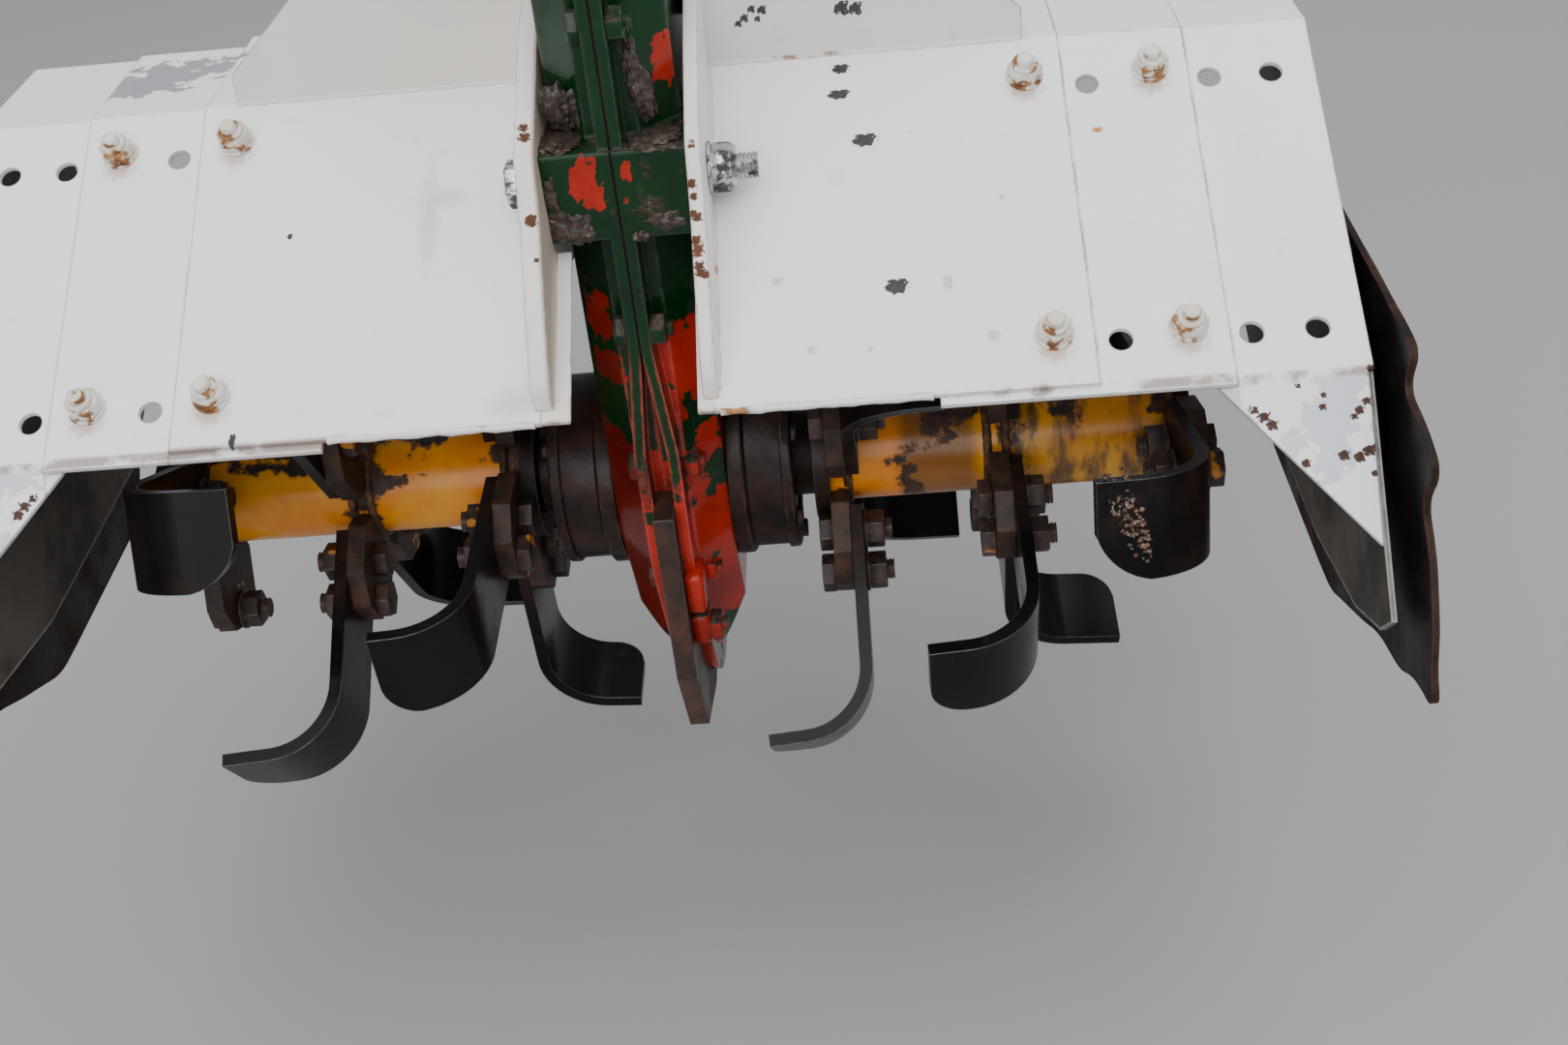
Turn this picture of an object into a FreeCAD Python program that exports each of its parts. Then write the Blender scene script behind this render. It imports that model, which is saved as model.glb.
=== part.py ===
import FreeCAD
import Part
import math
import os

# Row unit of an inter-row rotavator, in millimetres.
# X is the rotor axis, +Y is away from the side that the hood slopes to, +Z is up,
# and right is +X.
# The origin is the middle of the toolbar plate's top face, and the unit hangs below it.
# Shapes are drawn round the rotor axis and moved down to it when they are written.
V = FreeCAD.Vector
OUT = "parts"

# Chain case
CHAIN_CENTRES = 420.0      # drive shaft axis to rotor axis
HEAD_R = 62.0              # case radius round the drive sprocket
FOOT_R = 86.0              # case radius round the rotor sprocket
KEEL_R = 58.0              # radius of the keel below the rotor axis
KEEL_DROP = 88.0           # keel centre below the rotor axis
CASE_HALF = 36.0           # half width of the case over its flat sides
CASE_BEVEL = 21.0          # sloped shoulder between side and lip
KEEL_HALF = 9.0            # half width of the keel's bottom
LIP_T = 7.0                # thickness of each parting lip
LIP_OUT = 18.0             # lip beyond the case wall
LIP_OPEN_TOP = 142.0       # above the rotor axis, where the lips start to part
LIP_OPEN_FULL = 72.0       # above the rotor axis, where they are a shoe's thickness apart
SHOE_TOP = 34.0            # above the rotor axis

# Head of the case and the plate under the toolbar
PAD_X = 64.0               # half length of the head pad along X
PAD_Y = 72.0               # half length of the head pad along Y
PAD_T = 30.0
PAD_OVER = 22.0            # pad top above the head circle
PLATE_X = 140.0
PLATE_Y = 156.0
PLATE_T = 15.0
BAR = 100.0                # square toolbar that the plate takes
U_BOLT_D = 16.0
U_BOLT_HOLE_R = 8.5
U_BOLT_X = 100.0           # between the two U-bolts

# Drive hub in the head
DRIVE_R = 32.0
DRIVE_HEX = 35.0
DRIVE_OUT = 8.0            # hub beyond its covers
COVER_AF = 96.0
COVER_T = 12.0
SHAFT_FIT = 0.05

# Soil-parting shoe
SHOE_T = 13.0
SHOE_OUT = 12.0            # shoe beyond the lips
SHOE_HEEL = 26.0           # shoe below the keel
SHOE_HEEL_BACK = 100.0
SHOE_TOE = 44.0
SHOE_SEAT = 0.5

# Cross bosses and bolts that carry the hood halves
BOSS = 52.0                # square section of the rear boss
BOSS_Y = -66.0
BOSS_OVER = 42.0           # boss centre above the blades' reach
FRONT_BOSS = 40.0
FRONT_BOSS_RUN = 59.0      # bend to the front boss
CROSS_BOLT_R = 8.0
CROSS_BOLT_GAP = 0.3
CROSS_NUT_AF = 24.0
CROSS_HEAD_T = 10.0
CROSS_NUT_T = 16.0
CROSS_THREAD_OUT = 12.0

# Rotor
ROTOR_R = 197.0            # axis to the blade's outer face past its bend
TUBE_R = 35.0
SHAFT_R = 30.0
COUPLING_R = 46.0
COUPLING_T = 10.0
HUB_R = 62.0
HUB_LENGTH = 40.0
FIRST_FLANGE = 70.0        # case side to the middle of the first tine flange
FLANGE_PITCH = 103.5
END_PITCH = 109.0
RIGHT_END_OUT = 10.0       # right end flange further out than the left one
FLANGE_T = 12.0
LOBE_R = 95.0              # axis to a lobe's end
LOBE_W = 62.0
LOBE_CORNER = 18.0
WAIST = 44.0               # half width of the flange between lobes

# L blades
BLADE_T = 8.0
BLADE_W = 60.0
BLADE_ROOT = 46.0          # axis to the shank's root end
BLADE_BEND = 40.0          # radius inside the bend
WING_LEAN = 4.0            # degrees that the wing leans outwards
NOSE_LONG = 24.0           # rounded corner of the wing's tip
NOSE_WIDE = 21.0
END_NOSE_LONG = 44.0
END_NOSE_WIDE = 27.0
# Reach from the middle of the shank to the wing's tip, left and right, inner to end flange
REACH_L1_OUT = 54.0
REACH_L2_IN = 72.0
REACH_L2_OUT = 70.0
REACH_L3_IN = 73.0
REACH_R1_OUT = 74.0
REACH_R2_IN = 65.0
REACH_R2_OUT = 80.0
REACH_R3_IN = 67.0
TIP_CLEAR = 5.0

# Hood halves
PLATE_GAP = 6.0            # case side to inner plate
INNER_T = 5.0
SHEET_T = 3.0
WALL_T = 3.0
HOOD_CLEAR = 23.0          # blades' reach to the rear face's outer side
SLOPE_DEG = 30.0           # rear face against the level
SLOPE_TAIL = 80.0          # point nearest the rotor axis down to the lower edge
SLOPE_LEN = 229.0          # lower edge to the bend
SIDE_CLEAR = 65.0          # end blade to the end wall's outside
SHEET_STEP = 72.0          # how far each extension shows past its neighbour
MIDDLE_LAP = 85.0
OUTER_LAP = 48.0
MIDDLE_DROP = 5.0          # middle sheet's lower edge below the main sheet's
TOP_MAIN = 114.0           # bend to the front edge
TOP_SUB = 104.0
FRONT_LIP = 26.0
HOLE_PITCH = 35.0
HOLE_R = 6.5
HOLE_INSET = 21.0          # main sheet's edge back to its bolt row
ROW_LOW = 27.0             # hole rows, up the slope from the lower edge
ROW_HIGH = 195.0
FLAP_W = 83.0              # folded flap's width along the lower edge
FLAP_BACK = 61.0           # flap tip behind the lower edge
FLAP_DROP = 72.0           # flap tip below the lower edge
EAR_H = 58.0               # inner plate's ear above the rear face
EAR_FOOT = 62.0            # up the rear face, where the ear starts to rise
EAR_RISE = 42.0            # along the rear face while it rises
EAR_STEP = 24.0            # the ear's rear edge ends so far below the bend
EAR_SHARE = 0.70           # part of the height between bend and drive cover that the ear takes
PLATE_DEEP = 66.0          # inner plate under the sheets
RIB_END = 186.0            # rib's length along the bend
RIB_T = 5.0
RIB_CORNER = 0.24          # part of the rib's height left at its outer end
RIB_RUN = 62.0             # rib's cut corner along X

# Side shields
SHIELD_T = 4.0
SHIELD_GAP = 16.0
SPACER = 20.0              # square

# Places that follow from the sizes above
HEAD_TOP = HEAD_R + PAD_OVER
CASE_TOP = CHAIN_CENTRES + HEAD_TOP
KEEL_Z = -KEEL_DROP - KEEL_R
ROTOR_Z = -(PLATE_T + CASE_TOP)
CASE_CIRCLES = [(CHAIN_CENTRES, HEAD_R), (0.0, FOOT_R), (-KEEL_DROP, KEEL_R)]
LIP_R = FOOT_R + LIP_OUT
PLATE_IN = CASE_HALF + PLATE_GAP
PLATE_OUT = PLATE_IN + INNER_T
BOSS_Z = ROTOR_R + BOSS_OVER
FIRST_X = CASE_HALF + FIRST_FLANGE
MIDDLE_X = FIRST_X + FLANGE_PITCH
LAST_X = MIDDLE_X + END_PITCH
SHANK_OUT = (FLANGE_T + BLADE_T) / 2
OUTER_END = LAST_X + FLANGE_T / 2 + BLADE_T + SIDE_CLEAR
MIDDLE_END = OUTER_END - SHEET_STEP
MAIN_END = MIDDLE_END - SHEET_STEP
WALL_IN = OUTER_END - WALL_T
SLOPE = math.radians(SLOPE_DEG)
UP = (math.cos(SLOPE), math.sin(SLOPE))
OUTWARD = (-math.sin(SLOPE), math.cos(SLOPE))
SLOPE_OFF = ROTOR_R + HOOD_CLEAR
EDGE = (SLOPE_OFF * OUTWARD[0] - SLOPE_TAIL * UP[0], SLOPE_OFF * OUTWARD[1] - SLOPE_TAIL * UP[1])


def on_slope(up, out=0.0):
    """A (y, z) point: up the rear face from its lower edge, and out from its outer side."""
    return (EDGE[0] + up * UP[0] + out * OUTWARD[0], EDGE[1] + up * UP[1] + out * OUTWARD[1])


BEND = on_slope(SLOPE_LEN)
FRONT_BOSS_Y = BEND[0] + FRONT_BOSS_RUN
FRONT_MAIN = BEND[0] + TOP_MAIN
FRONT_SUB = BEND[0] + TOP_SUB
FLAP_TIP = (EDGE[0] - FLAP_BACK, EDGE[1] - FLAP_DROP)
EAR_TOP = BEND[1] + EAR_SHARE * (CHAIN_CENTRES - COVER_AF / 2 - BEND[1])
FRONT_BOSS_Z = (BEND[1] + EAR_TOP) / 2

SIDES = (("left", -1), ("right", 1))


def save(shape, name):
    """Move a shape from the rotor axis to its height under the toolbar and write it."""
    shape = shape.copy()
    shape.translate(V(0, 0, ROTOR_Z))
    shape.exportStep(OUT + "/" + name + ".step")


def box(x0, x1, y0, y1, z0, z1):
    return Part.makeBox(x1 - x0, y1 - y0, z1 - z0, V(x0, y0, z0))


def mirrored(shape, side):
    """The right-hand shape, or its mirror image for the left."""
    if side > 0:
        return shape
    return shape.mirror(V(0, 0, 0), V(1, 0, 0))


def bar_x(radius, x0, x1, y=0.0, z=0.0):
    """A round bar along X."""
    return Part.makeCylinder(radius, x1 - x0, V(x0, y, z), V(1, 0, 0))


def prism_x(points, x0, x1):
    """A closed outline of (y, z) points drawn out along X."""
    wire = Part.makePolygon([V(x0, y, z) for y, z in points + [points[0]]])
    return Part.Face(wire).extrude(V(x1 - x0, 0, 0))


def prism_y(points, y0, y1):
    """A closed outline of (x, z) points drawn out along Y."""
    wire = Part.makePolygon([V(x, y0, z) for x, z in points + [points[0]]])
    return Part.Face(wire).extrude(V(0, y1 - y0, 0))


def regular_x(sides, across_flats, x0, x1, y=0.0, z=0.0, start=90.0):
    """A regular bar along X with so many sides."""
    corner = across_flats / 2 / math.cos(math.pi / sides)
    points = []
    for k in range(sides):
        turn = math.radians(360 / sides * k + start)
        points.append((y + corner * math.cos(turn), z + corner * math.sin(turn)))
    return prism_x(points, x0, x1)


def belt(grow, x0, x1):
    """The case outline, a belt round its circles from the head down, drawn out along X."""
    rings = [(z, r + grow) for z, r in CASE_CIRCLES]
    leans = []
    for (z_up, r_up), (z_dn, r_dn) in zip(rings, rings[1:]):
        leans.append(math.asin((r_dn - r_up) / (z_up - z_dn)))

    def at(ring, lean, side):
        z, r = ring
        return V(x0, side * r * math.cos(lean), z + r * math.sin(lean))

    edges = []
    for side in (-1, 1):
        for k, lean in enumerate(leans):
            edges.append(Part.makeLine(at(rings[k], lean, side), at(rings[k + 1], lean, side)))
        for k in range(1, len(leans)):
            half = (leans[k - 1] + leans[k]) / 2
            arc = Part.Arc(at(rings[k], leans[k - 1], side), at(rings[k], half, side),
                           at(rings[k], leans[k], side))
            edges.append(arc.toShape())
    top, low = rings[0], rings[-1]
    crown = Part.Arc(at(top, leans[0], -1), V(x0, 0, top[0] + top[1]), at(top, leans[0], 1))
    sole = Part.Arc(at(low, leans[-1], -1), V(x0, 0, low[0] - low[1]), at(low, leans[-1], 1))
    wire = Part.Wire(Part.__sortEdges__(edges + [crown.toShape(), sole.toShape()]))
    return Part.Face(wire).extrude(V(x1 - x0, 0, 0))


def case_half():
    """The right half casting: shouldered body, parting lip, bosses, head pad and bores."""
    body = belt(0.0, 0.0, CASE_HALF)
    rim = [e for e in body.Edges if all(abs(v.X - CASE_HALF) < 1e-6 for v in e.Vertexes)]
    body = body.makeChamfer(CASE_BEVEL, rim)
    wide = 2 * LIP_R
    keel = prism_y([(0, CASE_TOP), (CASE_HALF, CASE_TOP), (CASE_HALF, -KEEL_DROP),
                    (KEEL_HALF, KEEL_Z), (0, KEEL_Z)], -wide, wide)
    body = body.common(keel)
    # The lip runs along the parting plane and spreads to take the shoe
    half_shoe = SHOE_T / 2
    lip_outer = half_shoe + LIP_T
    low = KEEL_Z - LIP_OUT
    spread = prism_y([(0, CASE_TOP), (LIP_T, CASE_TOP), (LIP_T, LIP_OPEN_TOP),
                      (lip_outer, LIP_OPEN_FULL), (lip_outer, low), (half_shoe, low),
                      (half_shoe, LIP_OPEN_FULL), (0, LIP_OPEN_TOP)], -wide, wide)
    body = body.fuse(belt(LIP_OUT, 0.0, lip_outer).common(spread))
    # Each boss stands on an arm that reaches out from the middle of the casting
    arm = CASE_HALF - CASE_BEVEL
    for size, y, z in ((BOSS, BOSS_Y, BOSS_Z), (FRONT_BOSS, FRONT_BOSS_Y, FRONT_BOSS_Z)):
        h = size / 2
        body = body.fuse(box(0, arm, min(y, 0), max(y, 0), z - h, z + h))
        body = body.fuse(box(0, PLATE_IN, y - h, y + h, z - h, z + h))
    body = body.fuse(box(0, PAD_X, -PAD_Y, PAD_Y, CASE_TOP - PAD_T, CASE_TOP))
    body = body.cut(bar_x(SHAFT_R + SHAFT_FIT, -1, CASE_HALF + 1))
    body = body.cut(bar_x(DRIVE_R + SHAFT_FIT, -1, CASE_HALF + 1, 0, CHAIN_CENTRES))
    for y, z in ((BOSS_Y, BOSS_Z), (FRONT_BOSS_Y, FRONT_BOSS_Z)):
        body = body.cut(bar_x(CROSS_BOLT_R + CROSS_BOLT_GAP, -1, PLATE_IN + 1, y, z))
    return body.removeSplitter()


def shoe():
    """The plate between the lips, from rotor height round the keel."""
    edge = LIP_R + SHOE_OUT
    heel = KEEL_Z - SHOE_HEEL
    outline = [(-edge, SHOE_TOP), (-edge * 1.06, -KEEL_DROP), (-SHOE_HEEL_BACK, KEEL_Z - 4),
               (-SHOE_TOE * 0.8, heel), (SHOE_TOE, heel + 6), (edge * 0.86, -KEEL_DROP),
               (edge, SHOE_TOP)]
    plate = prism_x(outline, -SHOE_T / 2, SHOE_T / 2)
    return plate.cut(belt(SHOE_SEAT, -SHOE_T, SHOE_T))


def bearing_hub():
    """A bearing housing beside the case's foot."""
    x1 = CASE_HALF + HUB_LENGTH
    hub = bar_x(HUB_R, CASE_HALF, x1)
    return hub.cut(bar_x(SHAFT_R + SHAFT_FIT, CASE_HALF - 1, x1 + 1))


def drive_cover():
    x1 = CASE_HALF + COVER_T
    cover = regular_x(8, COVER_AF, CASE_HALF, x1, 0, CHAIN_CENTRES, 22.5)
    return cover.cut(bar_x(DRIVE_R + SHAFT_FIT, CASE_HALF - 1, x1 + 1, 0, CHAIN_CENTRES))


def drive_hub():
    x1 = CASE_HALF + COVER_T + DRIVE_OUT
    hub = bar_x(DRIVE_R, -x1, x1, 0, CHAIN_CENTRES)
    return hub.cut(regular_x(6, DRIVE_HEX, -x1 - 1, x1 + 1, 0, CHAIN_CENTRES))


def toolbar_plate():
    plate = box(-PLATE_X / 2, PLATE_X / 2, -PLATE_Y / 2, PLATE_Y / 2, CASE_TOP, CASE_TOP + PLATE_T)
    for x in (-U_BOLT_X / 2, U_BOLT_X / 2):
        for y in (-(BAR + U_BOLT_D) / 2, (BAR + U_BOLT_D) / 2):
            plate = plate.cut(Part.makeCylinder(U_BOLT_HOLE_R, PLATE_T + 2, V(x, y, CASE_TOP - 1)))
    return plate


def cross_bolt(y, z):
    """A through bolt with its head on the left inner plate and its nut on the right one."""
    nut_end = PLATE_OUT + CROSS_NUT_T
    bolt = bar_x(CROSS_BOLT_R, -PLATE_OUT, nut_end + CROSS_THREAD_OUT, y, z)
    bolt = bolt.fuse(regular_x(6, CROSS_NUT_AF, -PLATE_OUT - CROSS_HEAD_T, -PLATE_OUT, y, z))
    return bolt.fuse(regular_x(6, CROSS_NUT_AF, PLATE_OUT, nut_end, y, z)).removeSplitter()


def sheet(depth, top, low, lip, x0, x1, holes):
    """A bent hood sheet, depth below the outermost one, with the bolt holes at the given X."""
    inner = depth + SHEET_T
    half = math.tan(SLOPE / 2)
    front = BEND[0] + top
    points = [on_slope(low, -depth), on_slope(SLOPE_LEN + depth * half, -depth),
              (front, BEND[1] - depth)]
    if lip:
        points += [(front, BEND[1] - depth - lip), (front - SHEET_T, BEND[1] - depth - lip),
                   (front - SHEET_T, BEND[1] - inner)]
    else:
        points.append((front, BEND[1] - inner))
    points += [on_slope(SLOPE_LEN + inner * half, -inner), on_slope(low, -inner)]
    piece = prism_x(points, x0, x1)
    for x in holes:
        for row in (ROW_LOW, ROW_HIGH):
            y, z = on_slope(row, 1 - inner - 2)
            drill = Part.makeCylinder(HOLE_R, inner + 3, V(x, y, z), V(0, *OUTWARD))
            piece = piece.cut(drill)
    return piece


# The holes that show open. A bolt fills those at the main and middle sheets' edges
HOLES = [MAIN_END - HOLE_INSET + HOLE_PITCH * k for k in (1, 3, 4)]


def main_sheet():
    return sheet(0.0, TOP_MAIN, 0.0, FRONT_LIP, PLATE_OUT, MAIN_END, [])


def middle_sheet():
    return sheet(SHEET_T, TOP_SUB, -MIDDLE_DROP, 0, MAIN_END - MIDDLE_LAP, MIDDLE_END, HOLES[:1])


def outer_sheet():
    """The outermost sheet, with a flap folded down to the end wall."""
    depth = 2 * SHEET_T
    piece = sheet(depth, TOP_SUB, 0.0, 0, MIDDLE_END - OUTER_LAP, OUTER_END, HOLES[1:])
    low = on_slope(0.0, -depth)
    size = math.hypot(FLAP_BACK, FLAP_DROP)
    square = V(0, FLAP_DROP / size * SHEET_T, -FLAP_BACK / size * SHEET_T)
    tip = (low[0] - FLAP_BACK, low[1] - FLAP_DROP)
    inner = WALL_IN - FLAP_W
    corners = [V(inner, *low), V(WALL_IN, *low), V(WALL_IN, *tip), V(inner, *low)]
    flap = Part.Face(Part.makePolygon(corners)).extrude(square)
    return piece.fuse(flap).removeSplitter()


def inner_plate():
    """The upright plate beside the case, with an ear for the cross bolt."""
    under = -PLATE_DEEP
    points = [on_slope(0.0, 2.0), on_slope(EAR_FOOT, 10.0),
              on_slope(EAR_FOOT + EAR_RISE - 20, EAR_H - 24),
              on_slope(EAR_FOOT + EAR_RISE, EAR_H - 2), on_slope(SLOPE_LEN - EAR_STEP, EAR_H),
              (FRONT_BOSS_Y - 18, EAR_TOP),
              (FRONT_BOSS_Y + 34, EAR_TOP), (FRONT_MAIN, (BEND[1] + EAR_TOP) / 2),
              (FRONT_MAIN, BEND[1] + under), on_slope(SLOPE_LEN + 18.0, under),
              on_slope(20.0, under), on_slope(0.0, 16 + under)]
    plate = prism_x(points, PLATE_IN, PLATE_OUT)
    for y, z in ((BOSS_Y, BOSS_Z), (FRONT_BOSS_Y, FRONT_BOSS_Z)):
        plate = plate.cut(bar_x(CROSS_BOLT_R + CROSS_BOLT_GAP, PLATE_IN - 1, PLATE_OUT + 1, y, z))
    return plate


def rib():
    """The stiffener standing on the bend, with its outer corner cut."""
    x1 = PLATE_OUT + RIB_END
    foot = BEND[1]
    corner = foot + RIB_CORNER * (EAR_TOP - foot)
    points = [(PLATE_OUT, foot), (x1, foot), (x1, corner), (x1 - RIB_RUN, EAR_TOP),
              (PLATE_OUT, EAR_TOP)]
    return prism_y(points, BEND[0], BEND[0] + RIB_T)


def end_wall():
    depth = 3 * SHEET_T
    under = BEND[1] - depth
    flap = (FLAP_TIP[0] + 3.0, FLAP_TIP[1] - 4.0)
    points = [on_slope(0.0, -depth), on_slope(SLOPE_LEN + depth * math.tan(SLOPE / 2), -depth),
              (FRONT_SUB, under), (FRONT_SUB, 60.0), (FRONT_SUB - 26.0, 12.0),
              (FRONT_SUB - 74.0, -8.0), (-120.0, -8.0), (-205.0, 6.0), (flap[0] - 12, 26.0),
              (flap[0] - 27, 44.0), flap]
    return prism_x(points, WALL_IN, OUTER_END)


SHIELD_OUTLINE = [(-200.0, 168.0), (70.0, 168.0), (100.0, 120.0), (100.0, -20.0), (60.0, -60.0),
                  (-110.0, -60.0), (-206.0, -14.0), (-243.0, -8.0), (-278.0, 14.0),
                  (-304.0, 16.0), (-266.0, 71.0), (-238.0, 102.0), (-252.0, 128.0),
                  (-224.0, 140.0), (-192.0, 142.0)]
SPACERS = [(-120.0, 120.0), (60.0, 130.0), (-20.0, 30.0)]


def side_shield():
    x0 = OUTER_END + SHIELD_GAP
    plate = prism_x(SHIELD_OUTLINE, x0, x0 + SHIELD_T)
    for y, z in SPACERS:
        plate = plate.fuse(regular_x(4, SPACER, OUTER_END, x0, y, z, 45.0))
    return plate.removeSplitter()


def rotor_shaft():
    x1 = FIRST_X - FLANGE_T / 2
    shaft = bar_x(SHAFT_R, -x1, x1)
    shaft = shaft.fuse(bar_x(COUPLING_R, x1 - COUPLING_T, x1))
    return shaft.fuse(bar_x(COUPLING_R, -x1, COUPLING_T - x1)).removeSplitter()


def tine_flange(x, turn):
    """A plate with four lobes, one of them turned behind straight down."""
    w = LOBE_W / 2
    c = LOBE_CORNER
    quarter = [(w, WAIST), (w, LOBE_R - c), (w - c, LOBE_R), (c - w, LOBE_R),
               (-w, LOBE_R - c), (-w, WAIST)]
    points = []
    for k in range(4):
        a = math.radians(90 * k + turn)
        for u, v in quarter:
            points.append((u * math.cos(a) + v * math.sin(a), u * math.sin(a) - v * math.cos(a)))
    return prism_x([(-y, z) for y, z in points], x - FLANGE_T / 2, x + FLANGE_T / 2)


def blade(x, side, reach, nose, turn):
    """An L blade: shank at x, wing turned towards side, its tip turned behind straight down."""
    t = BLADE_T / 2
    lean = math.radians(WING_LEAN)
    start = ROTOR_R - BLADE_T - BLADE_BEND
    centre = V(t + BLADE_BEND, 0, -start)

    def on_bend(radius, degrees):
        a = math.radians(degrees)
        return centre + V(-radius * math.cos(a), 0, -radius * math.sin(a))

    end = 90.0 - WING_LEAN
    outer = BLADE_BEND + BLADE_T
    along = V(math.cos(lean), 0, -math.sin(lean))
    run = (reach - on_bend(outer, end).x) / along.x
    tip = on_bend(outer, end) + along * run
    back = on_bend(BLADE_BEND, end) + along * run
    edges = [Part.makeLine(V(-t, 0, -BLADE_ROOT), V(-t, 0, -start)),
             Part.Arc(V(-t, 0, -start), on_bend(outer, end / 2), on_bend(outer, end)).toShape(),
             Part.makeLine(on_bend(outer, end), tip),
             Part.makeLine(tip, back),
             Part.makeLine(back, on_bend(BLADE_BEND, end)),
             Part.Arc(on_bend(BLADE_BEND, end), on_bend(BLADE_BEND, end / 2),
                      V(t, 0, -start)).toShape(),
             Part.makeLine(V(t, 0, -start), V(t, 0, -BLADE_ROOT)),
             Part.makeLine(V(t, 0, -BLADE_ROOT), V(-t, 0, -BLADE_ROOT))]
    w = BLADE_W / 2
    body = Part.Face(Part.Wire(edges)).extrude(V(0, BLADE_W, 0))
    body.translate(V(0, -w, 0))
    # One corner of the wing's tip is rounded off, a nose long and wide
    s = math.sqrt(0.5)
    long, wide = nose
    far = reach + BLADE_T
    root = V(reach - long, w, 0)
    foot = V(reach, w - wide, 0)
    mid = V(reach - long * (1 - s), w - wide * (1 - s), 0)
    waste = [Part.Arc(root, mid, foot).toShape(), Part.makeLine(foot, V(far, foot.y, 0)),
             Part.makeLine(V(far, foot.y, 0), V(far, w + 1, 0)),
             Part.makeLine(V(far, w + 1, 0), V(root.x, w + 1, 0)),
             Part.makeLine(V(root.x, w + 1, 0), root)]
    body = body.cut(Part.Face(Part.Wire(waste)).extrude(V(0, 0, -2 * ROTOR_R)))
    body = mirrored(body, side)
    body.translate(V(x, 0, 0))
    body.rotate(V(0, 0, 0), V(1, 0, 0), -turn)
    return body


# Blades on the flanges: side, place, X of the flange, which of its sides the shanks lie on
# (1 away from the case), angle of its first lobe behind straight down, the way that the wing
# turns on each lobe in turn a quarter round, the reach from the middle of the shank to the
# wing's tip for each way, and the length and width of the rounded nose
REACH_NEAR = FIRST_X + SHANK_OUT - PLATE_OUT - TIP_CLEAR
FOUR = "out in out in"
TWO = "in none in none"
NOSE = (NOSE_LONG, NOSE_WIDE)
END_NOSE = (END_NOSE_LONG, END_NOSE_WIDE)
FLANGES = [
    ("left", "inner", FIRST_X, 1, 88.0, FOUR, {"in": REACH_NEAR, "out": REACH_L1_OUT}, NOSE),
    ("left", "middle", MIDDLE_X, 1, 57.0, FOUR, {"in": REACH_L2_IN, "out": REACH_L2_OUT}, NOSE),
    ("left", "end", LAST_X, -1, 116.0, TWO, {"in": REACH_L3_IN}, END_NOSE),
    ("right", "inner", FIRST_X, 1, -42.0, FOUR, {"in": REACH_NEAR, "out": REACH_R1_OUT}, NOSE),
    ("right", "middle", MIDDLE_X, 1, -12.5, FOUR, {"in": REACH_R2_IN, "out": REACH_R2_OUT}, NOSE),
    ("right", "end", LAST_X + RIGHT_END_OUT, -1, 107.0, TWO, {"in": REACH_R3_IN}, END_NOSE)]


def blade_set(side, x, mount, first, ways, reaches, nose):
    """The blades of one flange."""
    found = []
    sign = 1 if side == "right" else -1
    shank = sign * (x + mount * SHANK_OUT)
    for k, way in enumerate(ways.split()):
        if way != "none":
            facing = sign if way == "out" else -sign
            found.append(blade(shank, facing, reaches[way], nose, first - 90 * k))
    return Part.makeCompound(found)


def rotor_tube(side):
    """The tube of one side with its three tine flanges welded on."""
    sign = 1 if side == "right" else -1
    places = [(row[2], row[4]) for row in FLANGES if row[0] == side]
    x0 = FIRST_X - FLANGE_T / 2
    tube = mirrored(bar_x(TUBE_R, x0, max(places)[0] + FLANGE_T / 2), sign)
    for x, first in places:
        tube = tube.fuse(tine_flange(sign * x, first))
    return tube.removeSplitter()


def build():
    os.makedirs(OUT, exist_ok=True)
    save(toolbar_plate(), "toolbar_plate")
    save(shoe(), "cutting_shoe")
    save(cross_bolt(BOSS_Y, BOSS_Z), "rear_cross_bolt")
    save(cross_bolt(FRONT_BOSS_Y, FRONT_BOSS_Z), "front_cross_bolt")
    save(drive_hub(), "drive_hub")
    save(rotor_shaft(), "rotor_shaft")
    makers = (("case_half", case_half), ("drive_cover", drive_cover), ("bearing_hub", bearing_hub),
              ("hood_inner_plate", inner_plate), ("hood_main_sheet", main_sheet),
              ("hood_middle_extension", middle_sheet), ("hood_outer_extension", outer_sheet),
              ("hood_rib", rib), ("hood_end_wall", end_wall), ("side_shield", side_shield))
    for name, maker in makers:
        shape = maker()
        for word, side in SIDES:
            save(mirrored(shape, side), name + "_" + word)
    for word, side in SIDES:
        save(rotor_tube(word), "rotor_tube_" + word)
    for word, place, *row in FLANGES:
        save(blade_set(word, *row), "blades_" + word + "_" + place)


build()
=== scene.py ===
# %% [markdown]
# This lesson dresses one row unit of an inter-row rotavator: a chain case that hangs
# from a toolbar, a rotor with L blades on both sides, and a sheet hood over them.
# The solid model comes in first and stays as it is. Everything below either gives it
# a finish or adds the small things that a solid model leaves out, such as bolts.
# Starting from the fixed model keeps every added piece in its real place.

# %% Load the solid model
import bmesh
import bpy
import math
import random
from mathutils import Matrix, Vector, noise


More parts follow.
